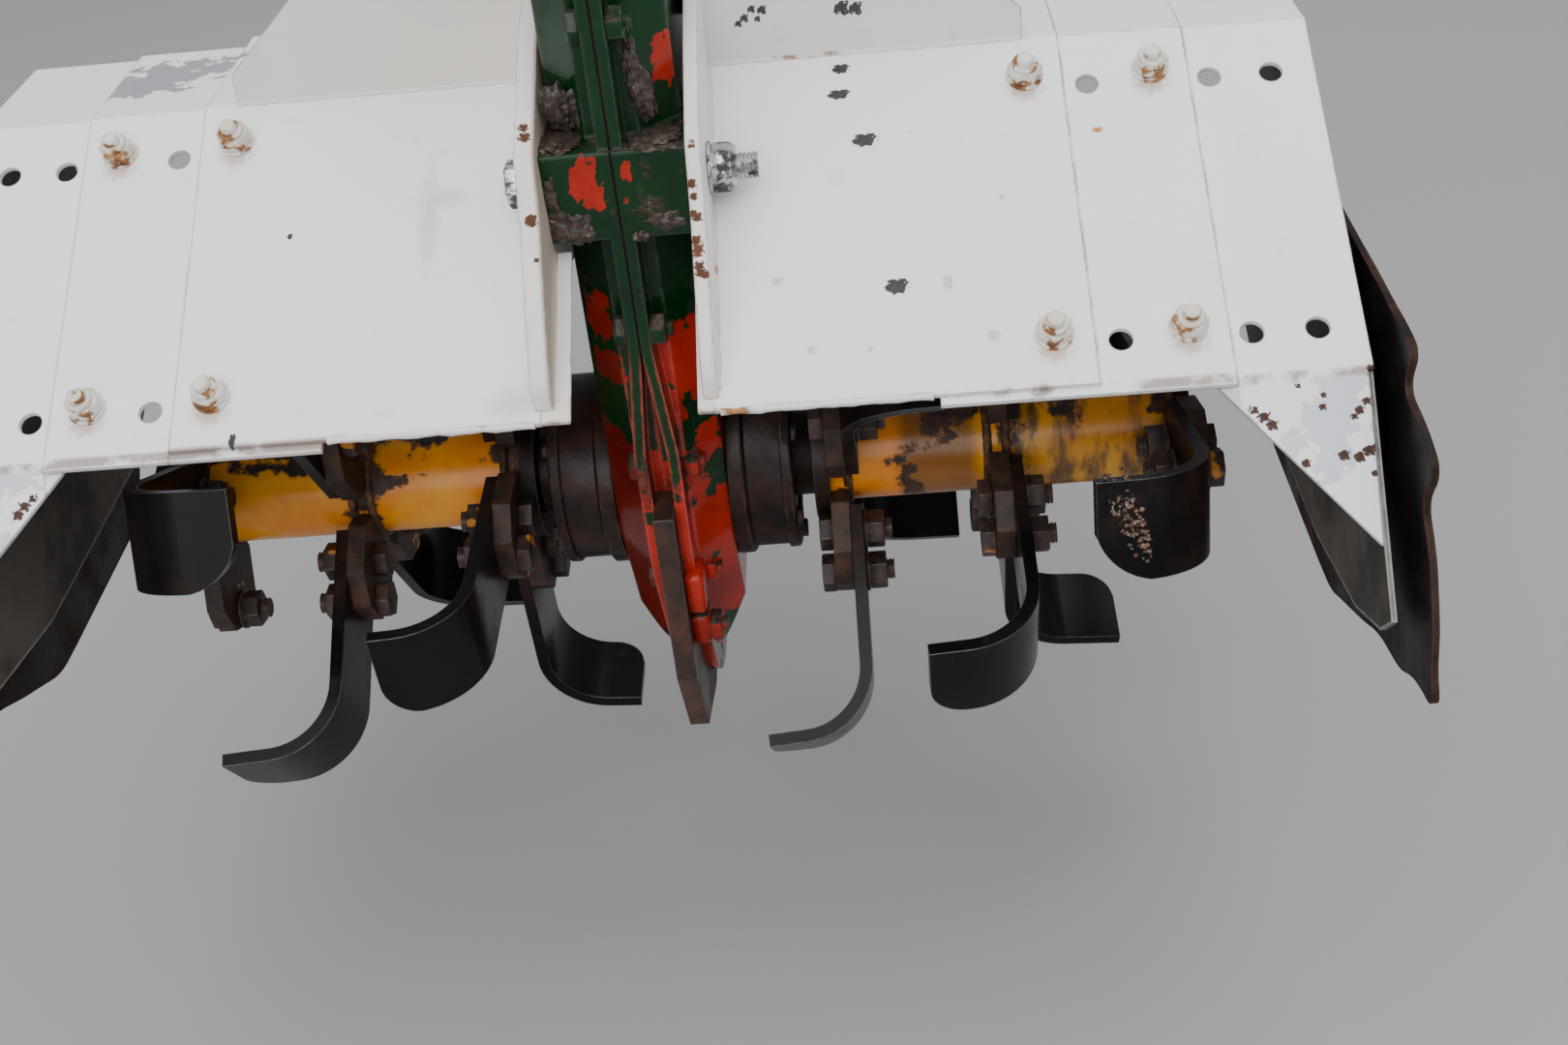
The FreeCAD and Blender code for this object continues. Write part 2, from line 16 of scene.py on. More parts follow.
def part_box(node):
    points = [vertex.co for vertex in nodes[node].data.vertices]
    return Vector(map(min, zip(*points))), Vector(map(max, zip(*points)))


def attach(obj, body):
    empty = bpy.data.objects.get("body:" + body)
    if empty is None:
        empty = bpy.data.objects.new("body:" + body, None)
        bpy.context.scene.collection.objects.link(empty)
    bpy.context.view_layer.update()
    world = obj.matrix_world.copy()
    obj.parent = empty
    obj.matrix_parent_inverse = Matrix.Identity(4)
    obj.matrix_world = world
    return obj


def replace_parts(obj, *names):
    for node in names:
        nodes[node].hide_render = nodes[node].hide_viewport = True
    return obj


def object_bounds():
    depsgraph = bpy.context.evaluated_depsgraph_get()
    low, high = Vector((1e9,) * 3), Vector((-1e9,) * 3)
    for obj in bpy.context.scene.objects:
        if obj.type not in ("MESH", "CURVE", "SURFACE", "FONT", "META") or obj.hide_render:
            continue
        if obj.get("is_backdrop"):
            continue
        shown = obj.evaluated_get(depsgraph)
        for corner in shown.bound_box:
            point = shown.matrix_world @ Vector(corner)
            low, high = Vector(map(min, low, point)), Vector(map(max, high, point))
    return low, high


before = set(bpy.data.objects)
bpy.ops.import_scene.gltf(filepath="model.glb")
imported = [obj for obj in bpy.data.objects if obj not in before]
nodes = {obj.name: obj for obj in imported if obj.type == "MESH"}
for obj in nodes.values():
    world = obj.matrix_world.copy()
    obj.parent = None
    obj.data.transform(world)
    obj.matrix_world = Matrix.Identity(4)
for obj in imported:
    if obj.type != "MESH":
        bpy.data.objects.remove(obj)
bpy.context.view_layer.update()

# %% [markdown]
# The hood slopes at thirty degrees, so bolts, streaks and chips on it are easiest to
# place by a distance along the rotor, a distance up the slope from its lower edge,
# and a distance out from the hood's skin. One small function turns such a place into
# a point of the model. Two others do the same for places round the rotor axis and for
# places measured from it. Tables are in millimetres, and the model is in metres.

# %% Places on the hood and round the rotor
shaft_low, shaft_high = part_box("rotor_shaft")
ROTOR_Z = (shaft_low[2] + shaft_high[2]) / 2
SLOPE = math.radians(30)
UP = Vector((0, math.cos(SLOPE), math.sin(SLOPE)))
OUT = Vector((0, -math.sin(SLOPE), math.cos(SLOPE)))
TAIL = 0.080  # from the lower edge up to the point nearest the rotor axis
SKIN = 0.220  # from the rotor axis to the skin
SHEET = 0.003
BEND = 0.229  # from the lower edge up to the bend


def on_hood(x, up, out=0.0):
    """A point of the sloping face: along the rotor, up from the lower edge, out from the skin."""
    return Vector((x, 0, ROTOR_Z)) + UP * (up - TAIL) + OUT * (SKIN + out)


def round_rotor(x, radius, degrees):
    """A point round the rotor axis, with the angle turned from straight down to the sloping side."""
    a = math.radians(degrees)
    return Vector((x, -radius * math.sin(a), ROTOR_Z - radius * math.cos(a)))


def from_axis(x, y, z):
    """A point measured from the rotor axis in millimetres."""
    return Vector((x / 1000, y / 1000, ROTOR_Z + z / 1000))


print("rotor axis at z", round(ROTOR_Z, 4), "hood bend at", on_hood(0, BEND))

# %% [markdown]
# Many small parts are made the same way: shape a mesh with mesh operators, put it in
# its place, make an object of it and say which body carries it. Helpers that shape,
# join and close keep the later cells short. Smooth shading by angle keeps flats crisp
# and rounds soft without extra faces.

# %% Helpers that shape and close a piece
def new_object(name, data):
    """An object of the scene."""
    thing = bpy.data.objects.new(name, data)
    bpy.context.scene.collection.objects.link(thing)
    return thing


def finish_piece(made, name, body, finish, smooth=35.0):
    """Turn a bmesh into an object that rides on a body and wears a finish."""
    bmesh.ops.recalc_face_normals(made, faces=made.faces)
    mesh = bpy.data.meshes.new(name)
    made.to_mesh(mesh)
    made.free()
    mesh.shade_smooth()
    mesh.set_sharp_from_angle(angle=math.radians(smooth))
    mesh.materials.append(finish)
    piece = new_object(name, mesh)
    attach(piece, body)
    print(name, "faces", len(mesh.polygons))
    return piece


def join_into(target, made, move=Matrix.Identity(4)):
    """Move a bmesh, copy it into another and free it."""
    bmesh.ops.transform(made, verts=made.verts, matrix=move)
    spare = bpy.data.meshes.new("spare")
    made.to_mesh(spare)
    made.free()
    target.from_mesh(spare)
    bpy.data.meshes.remove(spare)


def standing(place, axis):
    """The move that stands a shape on a point, with its Z along an axis."""
    return Matrix.Translation(place) @ Vector((0, 0, 1)).rotation_difference(Vector(axis)).to_matrix().to_4x4()


def level(made, axis):
    """The edges that lie square to an axis, given as 0, 1 or 2."""
    return [e for e in made.edges if abs(e.verts[0].co[axis] - e.verts[1].co[axis]) < 1e-6]


def soften(made, geom, offset, segments=2, affect="EDGES"):
    """Bevel edges or corners."""
    bmesh.ops.bevel(made, geom=geom, offset=offset, offset_type="OFFSET", affect=affect, segments=segments,
                    profile=0.5, material=-1)


def only(kind, geom):
    """The vertices or edges of a mixed list."""
    return [g for g in geom if isinstance(g, kind)]


def add_prism(target, sides, radius, height, place, axis, bevel=0.0, turn=0.0, top=None):
    """Add an upright prism or cone with bevelled rims, standing on a point along an axis."""
    made = bmesh.new()
    bmesh.ops.create_cone(made, cap_ends=True, segments=sides, radius1=radius, radius2=top or radius, depth=height)
    if bevel:
        soften(made, level(made, 2), bevel)
    turned = Matrix.Rotation(turn, 4, "Z") @ Matrix.Translation((0, 0, height / 2))
    join_into(target, made, standing(place, axis) @ turned)


def add_stack(target, rows, place, axis, turn=0.0):
    """Add prisms one upon the other; the turn is that of the hexagons."""
    for sides, radius, height, start, bevel, *top in rows:
        add_prism(target, sides, radius / 1000, height / 1000, place + Vector(axis) * start / 1000, axis,
                  bevel / 1000, turn if sides == 6 else 0.0, top[0] / 1000 if top else None)


def ribbed_bar(sides, radius, step, sizes, closed):
    """A bar along Z that grows ring by ring, each ring scaled from the one before."""
    made = bmesh.new()
    bmesh.ops.create_circle(made, cap_ends=closed, segments=sides, radius=radius)
    ring = list(made.edges)
    for size in sizes:
        grown = bmesh.ops.extrude_edge_only(made, edges=ring)["geom"]
        verts, ring = only(bmesh.types.BMVert, grown), only(bmesh.types.BMEdge, grown)
        bmesh.ops.translate(made, verts=verts, vec=(0, 0, step))
        bmesh.ops.scale(made, verts=verts, vec=(size, size, 1))
    bmesh.ops.contextual_create(made, geom=ring)
    return made


print("mesh helpers ready")

# %% [markdown]
# Paint, rust and dirt never lie evenly. Three patterns return in nearly every finish
# here: blotches from noise, wear along edges, and single marks at a known place.
# Each becomes a shader node group with named inputs, so that a material only sets
# its own numbers. The alternative, painting image textures, would tie the look to
# one unwrapping and one resolution. Sums and products of masks are easiest to read
# as sums and products, so a class lets a socket take part in them like a number.

# %% Helpers for node trees
def put(tree, kind, values=None, **settings):
    """Add a shader node with its settings, and fill its inputs with values or links."""
    node = tree.nodes.new("ShaderNode" + kind)
    for key, value in settings.items():
        setattr(node, key, value)
    for key, value in (values or {}).items():
        socket, value = node.inputs[key], getattr(value, "socket", value)
        if isinstance(value, bpy.types.NodeSocket):
            tree.links.new(value, socket)
        else:
            socket.default_value = (*value, 1) if socket.type == "RGBA" else value
    return node


class Field:
    """A value, vector or colour that varies over a piece; a | b is the higher of two values."""

    def __init__(self, tree, socket):
        self.tree, self.socket = tree, socket

    def maths(self, operation, *values):
        return Field(self.tree, put(self.tree, "Math", dict(enumerate(values)), operation=operation).outputs[0])

    def vector_maths(self, operation, *values):
        node = put(self.tree, "VectorMath", dict(enumerate(values)), operation=operation)
        return Field(self.tree, node.outputs["Value" if operation in ("LENGTH", "DOT_PRODUCT") else "Vector"])

    def __add__(self, other):
        return self.maths("ADD", self, other)

    def __sub__(self, other):
        return self.maths("SUBTRACT", self, other)

    def __rsub__(self, other):
        return self.maths("SUBTRACT", other, self)

    def __mul__(self, other):
        return self.maths("MULTIPLY", self, other)

    def __or__(self, other):
        return self.maths("MAXIMUM", self, other)

    def __abs__(self):
        return self.maths("ABSOLUTE", self)

    def step(self, low, high):
        """0 at low, 1 at high, smooth between."""
        node = put(self.tree, "MapRange", {"Value": self, "From Min": low, "From Max": high},
                   interpolation_type="SMOOTHSTEP")
        return Field(self.tree, node.outputs["Result"])

    def near(self, at, half, fade):
        """1 within half of a value, fading out over fade."""
        return abs(self - at).step(half + fade, half)

    def axes(self):
        """The coordinates of a vector, as three fields."""
        return [Field(self.tree, socket) for socket in put(self.tree, "SeparateXYZ", {"Vector": self}).outputs]


def mix(mask, first, second):
    """The first colour, or the second where the mask is 1."""
    node = put(mask.tree, "Mix", {0: mask, 6: first, 7: second}, data_type="RGBA")
    return Field(mask.tree, node.outputs[2])


def grain(vector, scale, detail, rough=0.5):
    """Layered noise."""
    node = put(vector.tree, "TexNoise", {"Vector": vector, "Scale": scale, "Detail": detail, "Roughness": rough})
    return Field(vector.tree, node.outputs["Fac"])


def strongest(masks):
    """The highest of several masks."""
    result = masks[0]
    for mask in masks[1:]:
        result = result | mask
    return result


def new_group(name, inputs, outputs):
    """A node group with named sockets: its tree, its inputs as fields, and its end node."""
    tree = bpy.data.node_groups.new(name, "ShaderNodeTree")
    for label, kind, value in inputs:
        socket = tree.interface.new_socket(label, in_out="INPUT", socket_type="NodeSocket" + kind)
        if value is not None:
            socket.default_value = value
    for label, kind in outputs:
        tree.interface.new_socket(label, in_out="OUTPUT", socket_type="NodeSocket" + kind)
    start, end = tree.nodes.new("NodeGroupInput"), tree.nodes.new("NodeGroupOutput")
    return tree, [Field(tree, start.outputs[label]) for label, _, _ in inputs], end


def hand_over(tree, end, *results):
    """Link results to the outputs of a group, in order."""
    for result, socket in zip(results, end.inputs):
        tree.links.new(result.socket, socket)
    print(tree.name + ":", len(tree.nodes), "nodes")


print("node helpers ready")

# %% [markdown]
# Blotches come from one noise texture cut by a soft step. Where the step is narrow
# the patches have hard rims, as chipped paint has, and where it is wide they fade,
# as dirt does.

# %% Blotches
blotches, (vector, scale, detail, low, high), end = new_group(
    "blotches",
    [("Vector", "Vector", None), ("Scale", "Float", 20.0), ("Detail", "Float", 4.0),
     ("Low", "Float", 0.5), ("High", "Float", 0.6)],
    [("Mask", "Float"), ("Noise", "Float")])
speckle = grain(vector, scale, detail, 0.6)
hand_over(blotches, end, speckle.step(low, high), speckle)

# %% [markdown]
# Paint goes first from edges. A Bevel node gives the normal that a rounded edge would
# have. Where that differs from the true normal an edge is near, and noise makes the
# worn line ragged. It reads the shape itself, so no edge has to be picked by hand.

# %% Wear along edges
edge_wear, (vector, radius, ragged, scale, amount), end = new_group(
    "edge_wear",
    [("Vector", "Vector", None), ("Radius", "Float", 0.002), ("Ragged", "Float", 0.5),
     ("Scale", "Float", 120.0), ("Amount", "Float", 0.5)],
    [("Mask", "Float")])
rounded = put(edge_wear, "Bevel", {"Radius": radius}, samples=4).outputs["Normal"]
true_normal = put(edge_wear, "NewGeometry").outputs["Normal"]
nearness = (1.0 - vector.vector_maths("DOT_PRODUCT", rounded, true_normal)) * 6.0
frayed = (grain(vector, scale, 3.0) - 0.5) * ragged
worn = nearness + frayed * 4.0 + (amount - 1.0)
hand_over(edge_wear, end, nearness.step(0.02, 0.2) * worn.step(0.0, 0.35))

# %% [markdown]
# A single mark, such as a chip or a stain under a bolt, sits at a measured place. An
# ellipse round that place with a noisy rim is enough, and a table of marks then reads
# like a list of damage.

# %% One mark at a known place
one_mark, (vector, centre, half, ragged, fade), end = new_group(
    "one_mark",
    [("Vector", "Vector", None), ("Centre", "Vector", (0, 0, 0)), ("Half size", "Vector", (1, 1, 1)),
     ("Ragged", "Float", 0.5), ("Fade", "Float", 0.2)],
    [("Mask", "Float")])
scaled = vector.vector_maths("DIVIDE", vector.vector_maths("SUBTRACT", vector, centre), half)
rim = (grain(scaled, 1.7, 4.0) - 0.5) * ragged
reach = scaled.vector_maths("LENGTH", scaled) + rim * 3.0
hand_over(one_mark, end, reach.step(fade + 1.0, 1.0 - fade))

# %% [markdown]
# Rust is never one brown. A coarse noise moves it between dark scale and orange
# bloom, and a fine one gives the grain that also lifts the surface.

# %% Rust
rust, (vector, scale, dark, bright), end = new_group(
    "rust",
    [("Vector", "Vector", None), ("Scale", "Float", 60.0), ("Dark", "Color", None), ("Bright", "Color", None)],
    [("Color", "Color"), ("Height", "Float")])
coarse = grain(vector, scale, 5.0, 0.65)
hand_over(rust, end, mix(coarse.step(0.35, 0.72), dark, bright), coarse * 0.6 + grain(vector, scale * 6.0, 2.0) * 0.4)

# %% [markdown]
# Every finish ends in one Principled shader. A recipe gets a paint, which knows the
# tree and the place on the piece. It sets a colour, lays coats over it through masks,
# and gives back roughness, height and perhaps metallic. Uniform numbers go straight
# onto the shader's own sockets. A Bevel node under the bump eases every sharp edge,
# since nothing cast, rolled or painted has a razor edge.

# %% A builder for finishes
class Paint:
    """One finish in the making."""

    def __init__(self, tree):
        self.tree = tree
        self.place = Field(tree, put(tree, "TexCoord").outputs["Object"])
        self.x, self.y, self.z = self.place.axes()
        self.colour = None

    def coat(self, mask, tint):
        """Lay a tint on the colour where the mask is 1."""
        self.colour = mix(mask, self.colour, tint)

    def above(self, low, high):
        """A soft step on the height above the rotor axis, in metres."""
        return self.z.step(ROTOR_Z + low, ROTOR_Z + high)

    def radius(self):
        """The distance from the rotor axis."""
        up = self.z - ROTOR_Z
        return self.z.maths("SQRT", up * up + self.y * self.y)

    def mapped(self, **values):
        """The place, turned, moved or scaled."""
        return Field(self.tree, put(self.tree, "Mapping", {"Vector": self.place, **values}).outputs["Vector"])

    def on_slope(self):
        """The place as along the rotor, up the slope and out from the rotor axis."""
        return self.mapped(Rotation=(-SLOPE, 0, 0),
                           Location=(0, TAIL - ROTOR_Z * math.sin(SLOPE), -ROTOR_Z * math.cos(SLOPE)))

    def lay(self, group, vector=None, **values):
        """The outputs of a pattern laid on the piece."""
        inputs = {key.replace("_", " "): value for key, value in values.items()}
        node = put(self.tree, "Group", {"Vector": vector or self.place, **inputs}, node_tree=group)
        return [Field(self.tree, socket) for socket in node.outputs]

    def blotch(self, scale, low=0.5, high=0.6, detail=4.0, vector=None):
        """Blotches, as mask and noise."""
        return self.lay(blotches, vector, Scale=scale, Low=low, High=high, Detail=detail)

    def wear(self, radius, ragged, amount):
        """The mask of worn edges."""
        return self.lay(edge_wear, Radius=radius, Ragged=ragged, Amount=amount)[0]

    def rusty(self, scale, dark=(0.018, 0.008, 0.005), bright=(0.14, 0.045, 0.014)):
        """Rust, as colour and height."""
        return self.lay(rust, Scale=scale, Dark=dark, Bright=bright)

    def marks(self, rows, ragged, fade, vector=None):
        """The marks of a table, each with centre and half size, as one mask."""
        return strongest([self.lay(one_mark, vector, Centre=centre, Half_size=half, Ragged=ragged, Fade=fade)[0]
                          for centre, half in rows])


def new_finish(name, recipe, *choices, specular=0.5, coat=0.0, coat_rough=0.2, bump=0.001, soft=0.001):
    """A material from a recipe that returns roughness, height and perhaps metallic."""
    material = bpy.data.materials.new(name)
    material.use_nodes = True
    tree = material.node_tree
    tree.nodes.clear()
    paint = Paint(tree)
    rough, height, *metal = recipe(paint, *choices)
    eased = put(tree, "Bevel", {"Radius": soft}, samples=6).outputs["Normal"]
    skin = put(tree, "Bump", {"Height": height, "Distance": bump, "Strength": 0.8, "Normal": eased})
    shader = put(tree, "BsdfPrincipled", {
        "Base Color": paint.colour, "Roughness": rough, "Specular IOR Level": specular, "Coat Weight": coat,
        "Coat Roughness": coat_rough, "Metallic": metal[0] if metal else 0.0, "Normal": skin.outputs["Normal"]})
    put(tree, "OutputMaterial", {"Surface": shader.outputs["BSDF"]})
    return material


print("finish builder ready")

# %% [markdown]
# The hood's white paint is old: nearly white, with a little blue on the sheets that is painted sky light, and
# warmer low down, rusty where bolts squeeze it, chipped in a few places and primer grey
# in one. Its marks are placed in the hood's own slope frame, which a Mapping node makes
# from the object's coordinates, or are measured from the rotor axis.

# %% Marks on the hood
def face_marks(rows):
    """Marks on the sloping face, from x, distance up the slope, half width and half height."""
    return [((x / 1000, up / 1000, SKIN), (wide / 1000, high / 1000, 0.05)) for x, up, wide, high in rows]


def axis_marks(rows):
    """Marks measured from the rotor axis, from x, y, z and one or three half sizes."""
    return [(from_axis(*row[:3]), [size / 1000 for size in (row[3:] * 3)[:3]]) for row in rows]


CHIPS = face_marks([
    (76, 268, 3.6, 2.5), (82, 263, 3.6, 2.5), (68, 257, 4.0, 3.2), (134, 258, 8, 2.6),
    (127, 218, 5, 3.0), (125, 200, 6.5, 3), (138, 167, 7, 4), (150, 69, 6.5, 4.4), (-218, 4, 2, 4),
    (39, 3, 3, 3), (-195, 133, 1.6, 1.8)])
FAINT_CHIPS = face_marks([
    (178, 69, 3, 4), (200, 34, 3.6, 3), (84, 78, 3, 2.4), (101, 33, 2.6, 2.2), (133, 31, 1.6, 1.6),
    (212, 121, 2.2, 1.4)])
RUST_SPOTS = face_marks([(352, 14, 2, 3), (270, 163, 3, 1.6), (395, 9, 4, 4)])
STAINS = face_marks([(-114, 137, 5, 26), (-108, 150, 13, 6), (-62, 14, 13, 8), (-52, 40, 3, 26)])
BOLTED = [(232, 202), (304, 202), (232, 32), (304, 32)]  # x and distance up the slope
BOLT_RUNS = face_marks([(side * x, up - 10, 8, 6) for side in (1, -1) for x, up in BOLTED])
EDGE_RUST = axis_marks([
    (45.6, -98.7, 271.1, 1.7), (45.4, -100.7, 268.7, 2.0), (43.8, -108.4, 250.5, 2.5), (44.5, -111.6, 244.4, 2.0),
    (43.3, -116.6, 236.9, 2.0), (45.3, -117.9, 235.7, 2.7), (44.0, -126.1, 226.2, 2.8), (44.6, -129.6, 223.3, 3.4),
    (44.2, -131.5, 221.5, 2.7), (44.8, -135.9, 216.2, 2.8), (45.1, -138.4, 213.4, 2.7), (47.6, -138.9, 212.4, 2.8),
    (-44.3, -114.8, 239.2, 3.4), (-42.7, -129.0, 223.4, 1.6), (-45.8, -82.4, 279.6, 2.8), (-45.1, -88.2, 276.6, 3.4)])
RIB_CHIPS = axis_marks([
    (69.7, 19, 288, 2.0), (73.5, 19, 291, 2.4), (78, 19, 296, 2.2), (84, 19, 295, 2.6), (81, 19, 290, 1.8),
    (130, 19, 292, 4.2), (138, 19, 291, 3.8)])
FLAP_RUST = axis_marks([
    (342, -193, 125, 3), (338, -190, 128, 3.2), (333, -187, 131, 2.6), (358, -207, 109, 2.4),
    (369, -188, 131, 2.0), (370, -184, 136, 1.6), (357, -180, 140, 1.6), (392, -187, 132, 2.4),
    (388, -190, 129, 2.4), (385, -192, 126, 2.0), (378, -205, 111, 3.0), (386, -206, 110, 3.0),
    (391, -204, 112, 3.2), (395, -203, 113, 2.6), (393, -212, 103, 1.8), (396, -176, 145, 2.4)])
PRIMER = axis_marks([(-296, 80, 262, 34, 22, 12), (-322, 66, 262, 20, 13, 12), (-272, 94, 262, 24, 12, 12)])
print("marks:", sum(map(len, (CHIPS, FAINT_CHIPS, RUST_SPOTS, STAINS, EDGE_RUST, RIB_CHIPS, FLAP_RUST, PRIMER))))

# %% [markdown]
# The white finish itself: paint with faint warm clouds, a thin broken line of rust
# where one sheet ends on the next and along the lower edge, the tables of chips, and
# a brown bloom under each nut where rain has carried rust down. One recipe serves
# the three kinds of sheet, and a word says which marks a sheet carries.

# %% White hood paint
SEAMS = (0.2541, 0.3261)  # where the main and the middle sheet end


def white_paint(paint, kind, tone, warm, edge):
    slope = paint.on_slope()
    along, up, out = slope.axes()
    across = abs(along)
    cloudy, clouds = paint.blotch(6.0, 0.36, 0.72)
    paint.colour = mix(cloudy * 0.6 + up.step(0.16, 0.0) * 0.35, tone, warm)
    paint.coat(paint.blotch(38.0, 0.60, 0.80, 7.0)[0] * 0.22, (0.34, 0.27, 0.20))
    broken, _ = paint.blotch(34.0, 0.44, 0.58)
    seams = strongest([across.near(at, 0.0004, 0.0011) for at in SEAMS])
    paint.coat(seams * broken * 0.62, (0.50, 0.30, 0.17))
    paint.coat(up.near(-0.001, 0.0016, 0.003) * broken * 0.7, (0.16, 0.075, 0.04))
    if kind == "sheet":
        paint.coat(paint.marks(BOLT_RUNS, 0.9, 0.5, slope) * 0.5, (0.52, 0.27, 0.12))
        paint.coat(paint.marks(STAINS, 0.5, 0.7, slope) * 0.42, (0.52, 0.33, 0.33))
        paint.coat(paint.marks(FAINT_CHIPS, 0.9, 0.3, slope) * 0.55, (0.40, 0.33, 0.32))
        bare_marks = [(paint.marks(CHIPS, 0.62, 0.08, slope), (0.030, 0.026, 0.028)),
                      (paint.marks(RUST_SPOTS, 1.0, 0.25, slope), (0.36, 0.15, 0.05))]
        paint.coat(paint.marks(PRIMER, 1.2, 0.05) * paint.blotch(55.0, 0.63, 0.60, 5.0)[0], (0.33, 0.34, 0.36))
    elif kind == "outer":
        peeled, _ = paint.blotch(24.0, 0.49, 0.505, 5.0)
        paint.coat(up.step(-0.001, -0.004) * peeled, (0.60, 0.64, 0.69))
        mirrored = paint.place.vector_maths("ABSOLUTE", paint.place)
        both_sides = [([abs(v) for v in centre], half) for centre, half in FLAP_RUST]
        bare_marks = [(paint.marks(both_sides, 0.9, 0.12, mirrored), (0.040, 0.016, 0.009))]
    else:
        # The ears' inner faces, turned to the case above the skin, get a tan tint: painted shade.
        inward_face_shade = across.step(0.0425, 0.0405) * out.step(SKIN + 0.0005, SKIN + 0.0030)
        paint.coat(inward_face_shade * 0.75, (0.36, 0.28, 0.20))
        bare_marks = [(paint.marks(EDGE_RUST, 0.8, 0.12), (0.070, 0.024, 0.007)),
                      (paint.marks(RIB_CHIPS, 0.9, 0.10), (0.030, 0.028, 0.026))]
    rusted, pits = paint.rusty(90.0, (0.040, 0.016, 0.008), (0.30, 0.12, 0.04))
    bare = paint.wear(0.0018, 1.0, edge) | paint.blotch(150.0, 0.775, 0.80, 3.0)[0]
    paint.coat(bare * 0.8, rusted)
    for mask, tint in bare_marks:
        paint.coat(mask, mix(pits.step(0.35, 0.65), tint, [c * 1.9 for c in tint]))
        bare = bare | mask
    return bare * 0.45 + 0.34, clouds * 0.25 - bare * 0.35


# The blue in the sheets' first colour is painted sky light.
hood_white = new_finish("hood_white_paint", white_paint, "sheet", (0.88, 0.89, 0.92), (0.89, 0.85, 0.80), 0.36,
                        bump=0.0005, soft=0.0012)
# The upright plates and the rib wear a darker, warmer copy of the white paint: painted shade of faces that get less
# light.
hood_white_shaded = new_finish("hood_inner_paint_shaded", white_paint, "plate", (0.82, 0.79, 0.76), (0.78, 0.70, 0.61), 0.46,
                        bump=0.0006, soft=0.0014)
hood_grey = new_finish("hood_outer_paint", white_paint, "outer", (0.87, 0.89, 0.92), (0.88, 0.85, 0.81), 0.42,
                       bump=0.0006, soft=0.0012)
print("hood finishes:", hood_white.name, hood_white_shaded.name, hood_grey.name)

# %% [markdown]
# The end walls have lost most of their paint to the soil that the blades throw, and
# are caked a dark grey brown. The side shields are bare rolled steel that has gone
# dark, with an orange brown rim where the edge was cut.

# %% Soil-stained walls and dark steel shields
def caked_wall(paint):
    patch, relief = paint.blotch(16.0, 0.40, 0.62, 6.0)
    paint.colour = mix(patch, (0.040, 0.034, 0.028), (0.115, 0.098, 0.082))
    paint.coat(paint.wear(0.003, 0.6, 0.9) * 0.7, (0.62, 0.59, 0.54))
    return relief * 0.3 + 0.55, relief


def dark_steel(paint):
    paint.colour = mix(paint.blotch(30.0, 0.45, 0.72, 6.0)[0], (0.005, 0.0045, 0.0045), (0.022, 0.017, 0.015))
    rusted, pits = paint.rusty(45.0, (0.020, 0.008, 0.006), (0.085, 0.034, 0.022))
    bloom = (1.0 - paint.above(-0.08, 0.10)) * paint.blotch(22.0, 0.42, 0.62, 5.0)[0]
    bare = paint.wear(0.004, 0.5, 0.95) | (bloom * 0.8)
    paint.coat(bare, rusted)
    return bare * 0.4 + 0.42, pits


end_wall_finish = new_finish("soil_caked_wall", caked_wall, bump=0.0012)
shield_finish = new_finish("dark_shield_steel", dark_steel, specular=0.2, bump=0.0007)
print("wall and shield finishes made")

# %% [markdown]
# The chain case was red once, was sprayed green over that, and has been scraped by
# soil ever since. Green holds higher up and red comes back low down, where stones
# strike, with pinkish rims along the lips and brown earth on every ledge. Where the
# earth lies is read from the way a face points, since only a ledge can hold it.

# %% Two coats of worn case paint
RED_PATCHES = axis_marks([
    (-16, -92, 249, 8, 4, 14), (-12, -92, 238, 6, 4, 7), (7.5, -92, 253, 3.0, 4, 6), (19, -68, 122, 15, 26, 24),
    (12, -76, 92, 8, 16, 13), (-24, -62, 152, 9, 26, 17), (-22, -66, 118, 12, 20, 12), (27, -66, 64, 9, 12, 9),
    (30, -50, 300, 8, 10, 14)])


def case_paint(paint):
    tint, _ = paint.blotch(11.0, 0.3, 0.7, 5.0)
    paint.colour = mix(tint, (0.0016, 0.018, 0.0045), (0.0034, 0.042, 0.0105))
    red = mix(tint, (0.24, 0.010, 0.005), (0.56, 0.028, 0.013))
    patch, relief = paint.blotch(15.0, 0.0, 1.0, 5.0)
    gone = (patch + (1.0 - paint.above(0.050, 0.085)) * 0.40).step(0.715, 0.735)
    known = paint.marks(RED_PATCHES, 0.8, 0.05)
    # Low on the left side the red is darkened nearly to black red: painted shade of that side.
    left_low_shade = paint.x.step(-0.010, -0.020) * paint.above(0.20, 0.10)
    paint.coat(gone | known, mix(left_low_shade * 0.72, red, (0.035, 0.006, 0.004)))
    wear = paint.wear(0.003, 0.8, 0.75)
    at_lips = paint.x.near(0.0, 0.015, 0.003) * (1.0 - paint.above(0.120, 0.160))
    paint.coat(wear * at_lips, (0.66, 0.10, 0.085))
    paint.coat(wear * (1.0 - at_lips) * 0.4, (0.10, 0.13, 0.10))
    # A black line down the joint of the lips is painted shade of the groove between them.
    paint.coat(paint.x.near(0.0, 0.0006, 0.0006) * paint.above(0.12, 0.14), (0.003, 0.003, 0.003))
    facing = Field(paint.tree, put(paint.tree, "NewGeometry").outputs["Normal"]).axes()[2]
    earth, thickness = paint.blotch(24.0, 0.58, 0.66, 7.0)
    soil = (earth * 0.75) | (facing.step(0.45, 0.8) * thickness.step(0.40, 0.50))
    crumb, crumbs = paint.blotch(260.0, 0.38, 0.66, 6.0)
    paint.coat(soil, mix(crumb, (0.030, 0.020, 0.014), (0.085, 0.058, 0.042)))
    return soil * 0.5 + 0.24, soil * (crumbs + 0.5) + relief * 0.35


